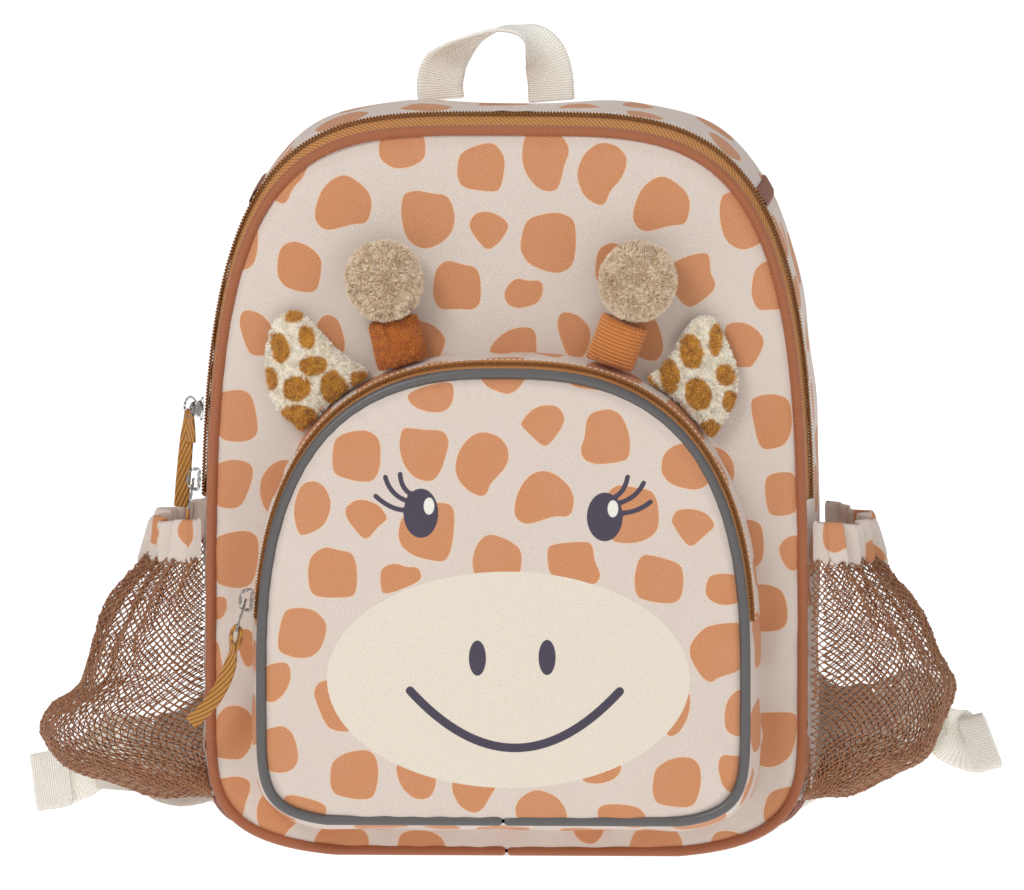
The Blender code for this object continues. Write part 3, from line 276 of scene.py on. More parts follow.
def ribbed_colour(ribs, dark, light, patch, share, worn):
    """A maker of colour: dark and light over ribs, with soft patches of a size in mm."""

    def colour(tree):
        tone = blend(tree, wave(tree, *ribs), dark, light)
        return blend(tree, mottle(tree, patch, 0.0, share), tone, worn)

    return colour


def woven_relief(ribs, threads, share):
    """A maker of relief: ribs with finer threads that run across them."""

    def relief(tree):
        return combine(tree, "MULTIPLY_ADD", wave(tree, *threads), share, wave(tree, *ribs))

    return relief


def printed_colour(tree):
    """Greige cloth with caramel spots; the threads glint through the ink."""
    bare = blend(tree, crossings(tree), "#D2C2B7", "#E8DDD5")
    rimmed = blend(tree, inside(tree, "spot", 0.35, 0.3), bare, "#E3C3A6")
    ink = blend(tree, crossings(tree), "#C17B4D", "#E3AB80")
    spotted = blend(tree, inside(tree, "spot"), rimmed, ink)
    return blend(tree, mottle(tree, 30.0, 0.0, 0.08), spotted, "#BDA79B")


# Printed polyester twill: matt with a slight sheen, fine dots in slanting rows
TWILL_SHINE = {"Sheen_Weight": 0.10, "Sheen_Roughness": 0.5, "Specular_IOR_Level": 0.30}
TWILL_RELIEF = 0.11
PRINTED_TWILL = new_material(
    "printed polyester twill", printed_colour, 0.62, crossings, TWILL_RELIEF, **TWILL_SHINE
)

Curve = namedtuple("Curve", "share x z length")
OUTLINE_POINTS = 4801


def arch_rule(upper, widest, low, top, arch, foot):
    """How round an arch is, and how far it reaches, above and below its widest place."""
    power = np.where(upper, arch, foot)
    return power, np.where(upper, top - widest, (widest - low) * FOOT_FLAT)


def outline(half_width, widest, low, top, arch, foot):
    """A panel's edge, by its share of the way round from the middle of the base."""
    turn = np.linspace(-math.pi / 2, 1.5 * math.pi, OUTLINE_POINTS)
    across, up = np.cos(turn), np.sin(turn)
    power, reach = arch_rule(up > 0, widest, low, top, arch, foot)
    radius = (abs(across) ** power + abs(up) ** power) ** (-1 / power)
    x = half_width * radius * across
    z = np.maximum(low, widest + reach * radius * up)
    run = np.concatenate([[0.0], np.cumsum(np.hypot(np.diff(x), np.diff(z)))])
    return Curve(run / run[-1], x, z, run[-1])


def stations(curve, shares):
    """x and z at shares of the way round, and the direction that points out of the bag."""
    before, here, after = (
        [np.interp(np.mod(shares + step, 1.0), curve.share, c) for c in (curve.x, curve.z)]
        for step in (-0.003, 0, 0.003)
    )
    dx, dz = after[0] - before[0], after[1] - before[1]
    length = np.hypot(dx, dz)
    return *here, dz / length, -dx / length


def outward(curve, shares):
    """The direction out of the bag as vectors."""
    out_x, out_z = stations(curve, shares)[2:]
    return np.stack([out_x, 0 * out_x, out_z], axis=1)


def unit(vectors):
    """The same directions, one long."""
    return vectors / np.linalg.norm(vectors, axis=-1, keepdims=True)


CORNER_CUT = 0.22  # as a share of a side, at each of its ends
FAR_OFF = 30.0  # mm, farther than any edge of the print reaches


def cut_corners(corners):
    """The outline of a spot with its corners cut back twice, which rounds them."""
    line = np.array(corners, dtype=float)
    for _ in range(2):
        ahead = np.roll(line, -1, axis=0)
        cuts = [line * (1 - CORNER_CUT) + ahead * CORNER_CUT, line * CORNER_CUT + ahead * (1 - CORNER_CUT)]
        line = np.stack(cuts, axis=1).reshape(-1, 2)
    return line


def spot_distance(x, z, spots):
    """How far a point in mm lies outside the nearest spot, below zero inside it."""
    nearest = np.full(np.shape(x), FAR_OFF)
    for corners in spots:
        line = cut_corners(corners)
        (low_x, low_z), (high_x, high_z) = line.min(axis=0) - 4, line.max(axis=0) + 4
        close = (x > low_x) & (x < high_x) & (z > low_z) & (z < high_z)
        if not close.any():
            continue
        px, pz = x[close], z[close]
        gap, crossed = np.full(px.shape, 99.0), np.zeros(px.shape, dtype=int)
        for (ax, az), (bx, bz) in zip(line, np.roll(line, -1, axis=0)):
            run_x, run_z = bx - ax, bz - az
            along = ((px - ax) * run_x + (pz - az) * run_z) / (run_x**2 + run_z**2)
            along = np.clip(along, 0, 1)
            gap = np.minimum(gap, np.hypot(px - ax - run_x * along, pz - az - run_z * along))
            if az != bz:
                level = (az > pz) != (bz > pz)
                crossed += level & (px < ax + (pz - az) / (bz - az) * run_x)
        nearest[close] = np.minimum(nearest[close], np.where(crossed % 2 == 1, -gap, gap))
    return nearest


def repeat_distance(x, z):
    """The same for the cloth's own repeat, which goes on in both directions."""
    across = np.mod(x + REPEAT_WIDTH / 2, REPEAT_WIDTH) - REPEAT_WIDTH / 2
    up = np.mod(z - REPEAT_FROM, REPEAT_HEIGHT) + REPEAT_FROM
    copies = [
        [(corner_x + i * REPEAT_WIDTH, corner_z + j * REPEAT_HEIGHT) for corner_x, corner_z in spot]
        for spot in PRINT_REPEAT
        for i in (-1, 0, 1)
        for j in (-1, 0, 1)
    ]
    return spot_distance(across, up, copies)


def new_mesh(name, verts, faces, finish, cloth=None, **fields):
    """A mesh object with smooth faces, its place in the cloth in mm, and distance fields."""
    mesh = bpy.data.meshes.new(name)
    faces = faces.tolist() if isinstance(faces, np.ndarray) else faces
    mesh.from_pydata(np.asarray(verts).tolist(), [], faces)
    mesh.shade_smooth()
    if cloth is not None:
        flat = np.zeros((len(verts), 3))
        flat[:, : np.shape(cloth)[1]] = cloth
        layer = mesh.attributes.new("cloth", "FLOAT_VECTOR", "POINT")
        layer.data.foreach_set("vector", flat.ravel())
    for field, values in fields.items():
        layer = mesh.attributes.new(field, "FLOAT", "POINT")
        layer.data.foreach_set("value", np.asarray(values, dtype=float).ravel())
    mesh.materials.append(finish)
    made = bpy.data.objects.new(name, mesh)
    bpy.context.scene.collection.objects.link(made)
    return made


def sewn_on(piece, slot, *nodes):
    """The piece belongs to the bag and stands for these CAD nodes, if it names any."""
    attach(piece, "root")
    if nodes:
        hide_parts(*nodes)
    return piece


def grid_faces(rows, columns, around=False):
    """Faces of a grid of points; around closes it across its second direction."""
    i, k = np.meshgrid(np.arange(rows - 1), np.arange(columns if around else columns - 1), indexing="ij")
    n = (k + 1) % columns
    corners = (i * columns + k, i * columns + n, (i + 1) * columns + n, (i + 1) * columns + k)
    return np.stack(corners, axis=-1).reshape(-1, 4)


def strip(name, grid, finish, cloth, around=False, **fields):
    """A mesh over a grid of points."""
    faces = grid_faces(*grid.shape[:2], around)
    return new_mesh(name, grid.reshape(-1, 3), faces, finish, cloth, **fields)


def arch_cloth(half_width, widest, low, top, arch, foot, pitch):
    """Cloth cut to an arch: x, z, faces, and how near each point is to the edge, which is 1."""
    xs = np.arange(-half_width - pitch, half_width + 2 * pitch, pitch)
    zs = np.arange(low - pitch, top + 2 * pitch, pitch)
    x, z = np.meshgrid(xs, zs)
    power, reach = arch_rule(z > widest, widest, low, top, arch, foot)
    level = (abs(x / half_width) ** power + abs((z - widest) / reach) ** power) ** (1 / power)
    out = level > 1
    shrink = np.maximum(1, level)
    x = x / shrink
    z = np.maximum(low, widest + (z - widest) / shrink)
    faces = grid_faces(len(zs), len(xs))
    faces = faces[~out.ravel()[faces].all(axis=1)]
    used, faces = np.unique(faces, return_inverse=True)
    return x.ravel()[used], z.ravel()[used], faces.reshape(-1, 4), level.ravel()[used]


def swell(x, z, width, low, top, dome):
    """How far stuffed cloth stands forward between its edges."""
    middle = (top + low) / 2
    across = np.minimum(1, abs(2 * x / width)) ** 2.2
    up = np.minimum(1, abs(z - middle) / (top - middle)) ** 2.2
    return dome * (1 - across) * (1 - up)


def panel_front(x, z):
    return FRONT + PANEL_SET - swell(x, z, BODY_WIDTH, BASE_RISE, BODY_TOP, PANEL_DOME)


def puckers(x, z, level, height):
    """Small gathers along a seam and long shallow folds, in metres."""
    near = np.clip((level - 0.86) / 0.12, 0, 1) * np.clip((1.005 - level) / 0.03, 0, 1)
    turn = np.arctan2(z - 0.15, x)
    gathers = np.sin(turn * 61 + 2 * np.sin(turn * 7)) + 0.6 * np.sin(turn * 37 + 1)
    drift = np.sin(x * 41 + z * 23) + np.sin(x * 29 - z * 47 + 1.7) + np.sin(x * 83 + z * 71 + 0.6) * 0.5
    return height * (0.5 * near * gathers + 0.45 * drift * (1 - near))


# Soft folds where the pocket and the seams drag the cloth: middle across and up in mm,
# direction in degrees, length, width and height in mm
DRAG_FOLDS = (
    (-122, 132, 25, 26, 4.5, 0.9),
    (-117, 98, 62, 34, 5.0, 1.1),
    (-119, 56, 82, 32, 5.0, 0.8),
    (121, 150, 108, 40, 5.0, 0.9),
    (117, 92, 76, 50, 6.0, 1.2),
    (119, 45, 98, 30, 5.0, 0.8),
    (-24, 246, 100, 40, 9.0, 0.5),
    (38, 238, 80, 42, 9.0, 0.5),
    (-78, 262, 45, 50, 8.0, 0.5),
)


def drag_folds(x, z):
    height = np.zeros(x.shape)
    for middle_x, middle_z, direction, length, width, rise in DRAG_FOLDS:
        turn = math.radians(direction)
        dx, dz = x / MM - middle_x, z / MM - middle_z
        along = dx * math.cos(turn) + dz * math.sin(turn)
        aside = dz * math.cos(turn) - dx * math.sin(turn) + 0.006 * along**2
        height += rise * MM * np.exp(-((2 * along / length) ** 2) - (aside / width) ** 2)
    return height


SEAM_GROOVE = 0.0020  # how far the cloth dips where it meets its piping
HEM = 0.0030
CLOTH_GRID = 1.6 * MM
body_cut = (BODY_WIDTH / 2 - HEM, BODY_WIDEST, BASE_RISE + HEM, BODY_TOP - HEM, BODY_ARCH, BODY_FOOT)
x, z, faces, level = arch_cloth(*body_cut, CLOTH_GRID)
groove = SEAM_GROOVE * np.clip((level - 0.972) / 0.025, 0, 1)
y = panel_front(x, z) - puckers(x, z, level, 0.0006) - drag_folds(x, z) + groove
upper_part = repeat_distance(x / MM, z / MM)
spots = np.where(z > REPEAT_DOWN_TO, upper_part, FAR_OFF)
spots = np.minimum(spots, spot_distance(x / MM, z / MM, LOW_SPOTS))
front_panel = new_mesh(
    "front_cloth",
    np.stack([x, y, z], axis=1),
    faces,
    PRINTED_TWILL,
    np.stack([x, z], axis=1) / MM,
    spot=spots,
)
sewn_on(front_panel, "printed_fabric", "front_panel")

# The front piping is ribbed terracotta tape wrapped round a cord and caught in the seam.
# Its two ends meet at the middle of the base.
BODY = outline(BODY_WIDTH / 2, BODY_WIDEST, BASE_RISE, BODY_TOP, BODY_ARCH, BODY_FOOT)
CORD_SIDES = 18
CORD_STEP = 1.3 * MM


def cord_along(name, curve, thickness, front, finish, joint=0.0006):
    """A covered cord round an outline, its front tangent to a depth, with a fine joint at its foot."""
    steps = int(curve.length / CORD_STEP)
    shares = np.linspace(joint / curve.length, 1 - joint / curve.length, steps)
    x, z, out_x, out_z = stations(curve, shares)
    radius = thickness / 2
    around = np.linspace(0, 2 * math.pi, CORD_SIDES + 1)[:-1]
    out = radius * np.cos(around)[None, :] - radius
    verts = np.stack(
        [
            x[:, None] + out_x[:, None] * out,
            front + radius + radius * np.sin(around)[None, :] + 0 * x[:, None],
            np.maximum(0.0, z[:, None] + out_z[:, None] * out),
        ],
        axis=2,
    )
    verts[[0, -1]] = verts[[0, -1]].mean(axis=1, keepdims=True) * 0.3 + verts[[0, -1]] * 0.7
    run, girth = shares * curve.length / MM, around * radius / MM
    cloth = np.stack([np.repeat(run, CORD_SIDES), np.tile(girth, steps)], axis=1)
    return strip(name, verts, finish, cloth, around=True)


def ribbed_tape(tree):
    return wave(tree, 1.0, 0.0, 1.0)


# Terracotta grosgrain tape: fine ribs across the cord, a soft silky shine
TERRACOTTA_TAPE = new_material(
    "terracotta grosgrain tape",
    ribbed_colour((1.0, 0.0, 1.0), "#985636", "#A86641", 8.0, 0.22, "#93522F"),
    0.50,
    ribbed_tape,
    0.10,
    Sheen_Weight=0.15,
    Specular_IOR_Level=0.35,
)
front_piping = cord_along("front_cord", BODY, PIPING, FRONT, TERRACOTTA_TAPE)
sewn_on(front_piping, "terracotta_piping", "front_piping")

# The gusset goes all the way round between the panels: printed cloth, with the zip let into its
# upper part from hem to hem. The foot of it is the base that the bag stands on.
GAP = 0.0003
SEAM_FRONT = FRONT + PIPING + GAP
SEAM_SINK = 0.0008
FLARE_TOP, FLARE_SIDE = 0.0062, 0.0025
TOP_SAG, TOP_SAG_WIDTH = 0.0030, 0.055
ZIP_TAPE = 0.0112
COIL_AT = 0.0080
ZIP_LOW = 0.156

# Share of the depth, rise on the sides and top, rise under the base
GUSSET_PROFILE = np.array(
    [
        (0.00, 0.00, 0.00),
        (0.07, 0.62, 1.00),
        (0.13, 0.78, 1.00),
        (0.30, 1.00, 1.00),
        (0.62, 1.00, 1.00),
        (0.86, 0.96, 1.00),
        (1.00, 0.55, 0.40),
    ]
)


def height_share(curve, height):
    """Share of the way round at a height, on the side that comes first."""
    half = len(curve.share) // 2 + 1
    return np.interp(height, curve.z[:half], curve.share[:half])


def gusset_points(shares, depths, lift=0.0):
    """Points on the gusset's outer side at shares of the way round and shares of its depth."""
    x, z, out_x, out_z = (a[:, None] for a in stations(BODY, shares))
    depth = depths[None, :]
    top, base = np.maximum(0, out_z), np.maximum(0, -out_z) ** 2
    flare = FLARE_SIDE + (FLARE_TOP - FLARE_SIDE) * top - (FLARE_SIDE - BASE_RISE) * base
    side, under = (np.interp(depth, GUSSET_PROFILE[:, 0], GUSSET_PROFILE[:, c]) for c in (1, 2))
    rise = side + (under - side) * base
    sag = TOP_SAG * top * np.clip((depth - 0.13) / 0.35, 0, 1) * np.exp(-((x / TOP_SAG_WIDTH) ** 2))
    out = (flare + SEAM_SINK) * rise - SEAM_SINK - sag + lift
    y = SEAM_FRONT + (BACK - SEAM_FRONT) * depth + 0 * out
    return np.stack([x + out_x * out, y, np.maximum(0.0, z + out_z * out)], axis=2)


def gusset_cloth(shares, depths):
    """Place in the cloth, in mm: the way round from the top, and up from the front seam."""
    around = -(shares - 0.5) * BODY.length / MM
    deep = depths * (BACK - SEAM_FRONT) / MM
    return np.stack([np.repeat(around, len(depths)), np.tile(deep, len(shares))], axis=1)


def gusset_creases(shares, depths, height):
    """Gathers next to the zip and slack folds further back; none on the base."""
    z = stations(BODY, shares)[1][:, None]
    around = (shares * BODY.length)[:, None]
    deep = depths[None, :]
    gathers = np.sin(around * 430 + 2 * np.sin(around * 60)) * np.exp(-(deep - 0.12) / 0.10)
    slack = np.sin(around * 70 + deep * 4) * np.sin(deep * 9 + around * 31) + 0.4 * np.sin(around * 150)
    held = np.clip((z - 0.012) / 0.03, 0, 1) * np.clip((1 - deep) / 0.1, 0, 1)
    return height * held * (0.5 * gathers + slack)


# Spots on the gusset over the top: the corners of each, round from the middle and back from the seam
TOP_SPOTS_REACH = 124
TOP_SPOTS = (
    ((-112, 20), (-103, 15), (-94, 21), (-93, 40), (-101, 50), (-111, 43)),
    ((-112, 66), (-104, 60), (-96, 66), (-95, 86), (-104, 92), (-112, 84)),
    ((-84, 34), (-81, 20), (-72, 15), (-62, 22), (-60, 42), (-68, 54), (-80, 50)),
    ((-76, 78), (-70, 68), (-59, 68), (-54, 80), (-59, 94), (-71, 93)),
    ((-48, 40), (-46, 22), (-36, 17), (-26, 22), (-24, 44), (-30, 60), (-42, 60)),
    ((-39, 78), (-32, 74), (-27, 84), (-33, 93), (-40, 88)),
    ((-16, 76), (-14, 62), (-4, 56), (6, 62), (7, 80), (0, 92), (-11, 90)),
    ((19, 48), (22, 34), (31, 30), (38, 40), (37, 58), (31, 72), (22, 68)),
    ((46, 70), (48, 56), (56, 53), (61, 64), (57, 80), (50, 82)),
    ((50, 26), (53, 16), (61, 15), (66, 24), (64, 36), (56, 42), (50, 36)),
    ((76, 70), (82, 60), (92, 62), (96, 74), (92, 88), (82, 90)),
    ((84, 38), (87, 22), (96, 18), (102, 30), (100, 46), (93, 54), (86, 50)),
    ((110, 60), (116, 48), (122, 56), (121, 74), (114, 78)),
)


GUSSET_GRID = 2.0 * MM
CREASE = 0.0006


def gusset_piece(name, start, end, front, node):
    shares = np.linspace(start, end, int((end - start) * BODY.length / GUSSET_GRID))
    depths = np.linspace(front, 1.0, int((1 - front) * (BACK - SEAM_FRONT) / GUSSET_GRID))
    points = gusset_points(shares, depths, gusset_creases(shares, depths, CREASE) - 0.0004)
    tuck = gusset_points(shares, np.array([1.0, 0.985]), -0.0022)
    points = np.concatenate([points, tuck], axis=1)
    depths = np.concatenate([depths, [1.02, 1.03]])
    cloth = gusset_cloth(shares, depths)
    spots = repeat_distance(cloth[:, 0] + 5.0, cloth[:, 1] + 203.0)
    top = abs(cloth[:, 0]) < TOP_SPOTS_REACH
    spots = np.where(top, spot_distance(cloth[:, 0], cloth[:, 1], TOP_SPOTS), spots)
    piece = strip(name, points, PRINTED_TWILL, cloth, spot=spots)
    return sewn_on(piece, "printed_fabric", node)


zip_from = height_share(BODY, ZIP_LOW)
cloth_from = (ZIP_TAPE + 0.0002) / (BACK - SEAM_FRONT)
gusset_upper = gusset_piece("gusset_top_cloth", zip_from, 1 - zip_from, cloth_from, "gusset_upper")
gusset_lower = gusset_piece("gusset_base_cloth", -zip_from, zip_from, 0.0, "gusset_lower")

# The zip: two caramel tapes with a nylon coil woven on, which closes into a flat braid.
# The tape in front is sewn under the piping, and the gusset's folded edge is sewn over the other.
# Caramel polyester tape: herringbone ribs that slant across it, dull
TAPE_RIBS = (0.75, 0.66, 1.5)
CARAMEL_TAPE = new_material(
    "caramel zip tape",
    ribbed_colour(TAPE_RIBS, "#AA6E40", "#D69C62", 6.0, 0.25, "#B47A44"),
    0.70,
    woven_relief(TAPE_RIBS, (1.0, 0.0, 0.8), 0.3),
    0.22,
    Specular_IOR_Level=0.25,
)
# Dyed nylon: smooth round filament with small bright glints
NYLON_COIL = new_material("dyed nylon coil", "#96622E", 0.42, Specular_IOR_Level=0.4)
# Thick cotton-wrapped thread, off-white
SEWING_THREAD = new_material("white sewing thread", "#EFE6DA", 0.60, Sheen_Weight=0.2)


def rings(centres, side, face, radius, sides):
    """Circles of points about centres, each in the plane of two directions."""
    turn = np.arange(sides)[None, :, None] * 2 * math.pi / sides
    return centres[:, None, :] + radius * (side[:, None, :] * np.cos(turn) + face[:, None, :] * np.sin(turn))


def tube_net(starts, ends, radius, sides=4):
    """Many straight thin rods in one: their points and faces."""
    ahead = unit(ends - starts)
    helper = np.where(abs(ahead[:, 1:2]) < 0.8, [[0.0, 1.0, 0.0]], [[1.0, 0.0, 0.0]])
    side = unit(np.cross(ahead, helper))
    face = np.cross(ahead, side)
    verts = np.concatenate([rings(p, side, face, radius, sides) for p in (starts, ends)], axis=1)
    one = grid_faces(2, sides, around=True)
    faces = np.arange(len(starts))[:, None, None] * 2 * sides + one
    return verts.reshape(-1, 3), faces.reshape(-1, 4)


def bent_tube(points, radials, radius, sides=4):
    """A round tube through points, with a direction across it at each: its points and faces."""
    ahead = unit(np.gradient(points, axis=0))
    side = unit(radials - ahead * (radials * ahead).sum(axis=1, keepdims=True))
    verts = rings(points, side, np.cross(ahead, side), radius, sides)
    return verts.reshape(-1, 3), grid_faces(len(points), sides, around=True)


def joined(name, parts, finish):
    """One mesh of several, each given as its points and faces."""
    starts = np.cumsum([0] + [len(verts) for verts, _ in parts])
    faces = np.concatenate([faces + start for (_, faces), start in zip(parts, starts)])
    return new_mesh(name, np.concatenate([verts for verts, _ in parts]), faces, finish)


TO_REAR = np.array([[0.0, 1.0, 0.0]])


def zip_coil(name, place, length, pitch=1.4 * MM, wide=1.0, steps=8):
    """Two rows of loops that hook into each other, along points that place gives."""
    parts, count = [], int(length / pitch)
    for row in (-1, 1):
        turn = np.linspace(0, count * 2 * math.pi, count * steps)
        base, out = place(np.linspace(0, 1, len(turn)))
        rise, reach = np.sin(turn)[:, None], np.cos(turn)[:, None]
        swing = row * wide * (0.70 - 0.85 * reach)
        points = base + (out * (0.85 + 0.62 * rise) + TO_REAR * swing) * MM
        parts.append(bent_tube(points, out * rise + TO_REAR * reach, 0.36 * MM * wide))
    return joined(name, parts, NYLON_COIL)


def along_zip(start, along):
    """Shares of the way round for shares of a zip that ends as far up on both sides."""
    return start + (1 - 2 * start) * along


def body_coil_place(along):
    shares = along_zip(zip_from, along)
    depth = np.array([COIL_AT / (BACK - SEAM_FRONT)])
    return gusset_points(shares, depth, -0.0003)[:, 0, :], outward(BODY, shares)


tape_shares = np.linspace(zip_from, 1 - zip_from, 500)
tape_depths = np.linspace(0, (ZIP_TAPE + 0.001) / (BACK - SEAM_FRONT), 12)
zip_tape = strip(
    "zip_tape_cloth",
    gusset_points(tape_shares, tape_depths, -0.0007),
    CARAMEL_TAPE,
    gusset_cloth(tape_shares, tape_depths),
)
sewn_on(zip_tape, "zip_tape", "main_zip_tape")
coil = zip_coil("zip_teeth", body_coil_place, BODY.length * (1 - 2 * zip_from))
sewn_on(coil, "zip_coil", "main_zip_coil")


def stitches(name, place, count, gauge=0.22 * MM, cover=0.68):
    """A row of thread stitches. place gives points from 0 to 1 and how they lie outward."""
    points, out = place(np.linspace(0, 1, count * 4 + 1))
    lift = np.array([[0.2], [1.0], [1.0], [0.2]]) * gauge * 0.8
    parts = []
    for i in range(0, count * 4, 4):
        run = points[i : i + 4] * cover + points[i : i + 4].mean(axis=0) * (1 - cover)
        parts.append(bent_tube(run + out[i : i + 4] * lift, out[i : i + 4], gauge, 5))
    return joined(name, parts, SEWING_THREAD)


STITCH = 0.0032


def gusset_seam(along):
    shares = along_zip(zip_from, along)
    depth = np.array([cloth_from + 0.020])
    crease = gusset_creases(shares, depth, CREASE)
    return gusset_points(shares, depth, crease - 0.0003)[:, 0, :], outward(BODY, shares)


stitch_count = int(BODY.length * (1 - 2 * zip_from) / STITCH)
seam_thread = sewn_on(stitches("zip_seam_thread", gusset_seam, stitch_count), "printed_fabric")

# Two bands of brown tape cover the gusset's joins at the shoulders, sewn down at both edges.
BAND_WIDTH = 0.009
BAND_SHARE = 0.385


def band_colour(tree):
    return blend(tree, wave(tree, 1.0, 0.0, 1.1), "#7A4532", "#985C44")


# Brown twill tape: dull, ribs along its length
BROWN_TAPE = new_material("brown twill tape", band_colour, 0.65, ribbed_tape, 0.15)
for side, middle in (("left", 1 - BAND_SHARE), ("right", BAND_SHARE)):
    half = BAND_WIDTH / 2 / BODY.length
    shares = np.linspace(middle - half, middle + half, 9)
    depths = np.linspace(0.135, 0.985, 50)
    lift = gusset_creases(shares, depths, CREASE) + 0.0006
    lift[[0, -1], :] -= 0.0010
    band = strip(
        f"seam_band_{side}",
        gusset_points(shares, depths, lift),
        BROWN_TAPE,
        gusset_cloth(shares, depths),
    )
    sewn_on(band, "seam_tape", f"band_{side}")

# The padded back: plain spacer mesh over thin foam, bound into the gusset's rear edge.
BACK_DOME = 0.003


def spacer_mesh(tree):
    one = wave(tree, 1.0, 0.0, 2.6)
    two = wave(tree, 0.5, 0.866, 2.6)
    three = wave(tree, -0.5, 0.866, 2.6)
    return combine(tree, "MULTIPLY", one, combine(tree, "MULTIPLY", two, three))


def spacer_colour(tree):
    return blend(tree, combine(tree, "MULTIPLY", spacer_mesh(tree), 2.0), "#CFC0B4", "#A3948A")


# Knitted spacer mesh: matt, with small round holes
SPACER_MESH = new_material("knitted spacer mesh", spacer_colour, 0.85, spacer_mesh, 0.8, Sheen_Weight=0.2)
BACK_SEAM = 0.0012
back_cut = (
    BODY_WIDTH / 2 - BACK_SEAM,
    BODY_WIDEST,
    BASE_RISE + BACK_SEAM,
    BODY_TOP - BACK_SEAM,
    BODY_ARCH,
    BODY_FOOT,
)
x, z, faces, level = arch_cloth(*back_cut, 0.0025)
channel = np.exp(-(((abs(x) - 0.038) / 0.0035) ** 2)) * np.clip((0.93 - level) / 0.05, 0, 1)
swelling = swell(x, z, BODY_WIDTH, BASE_RISE, BODY_TOP, BACK_DOME)
y = BACK + swelling + 0.0012 * (1 - np.clip(level, 0, 1) ** 12) - 0.0022 * channel - 0.0006
back_cloth = new_mesh(
    "back_pad_cloth",
    np.stack([x, y, z], axis=1),
    faces[:, ::-1],
    SPACER_MESH,
    np.stack([x, z], axis=1) / MM,
)
sewn_on(back_cloth, "padded_back", "back_panel")
BACK_PIPING = 0.0036
back_piping = cord_along("back_cord", BODY, BACK_PIPING, BACK - BACK_SEAM, TERRACOTTA_TAPE)
sewn_on(back_piping, "terracotta_piping")

# The front pocket's face: the same cloth with an animal's face printed over the spots,
# stuffed a little more than the panel behind it.
POCKET_WIDTH = 0.2132
POCKET_LOW, POCKET_WIDEST, POCKET_TOP = 0.018, 0.083, 0.216
POCKET_ARCH, POCKET_FOOT = 2.6, 6.2
POCKET_FRONT = FRONT - 0.034
POCKET_PIPING = 0.0046
POCKET_DOME = 0.006
PRINT_SHIFT = 1.4  # the print sits a little to the right of the middle, in mm
POCKET_SEAM = POCKET_FRONT + POCKET_PIPING + GAP

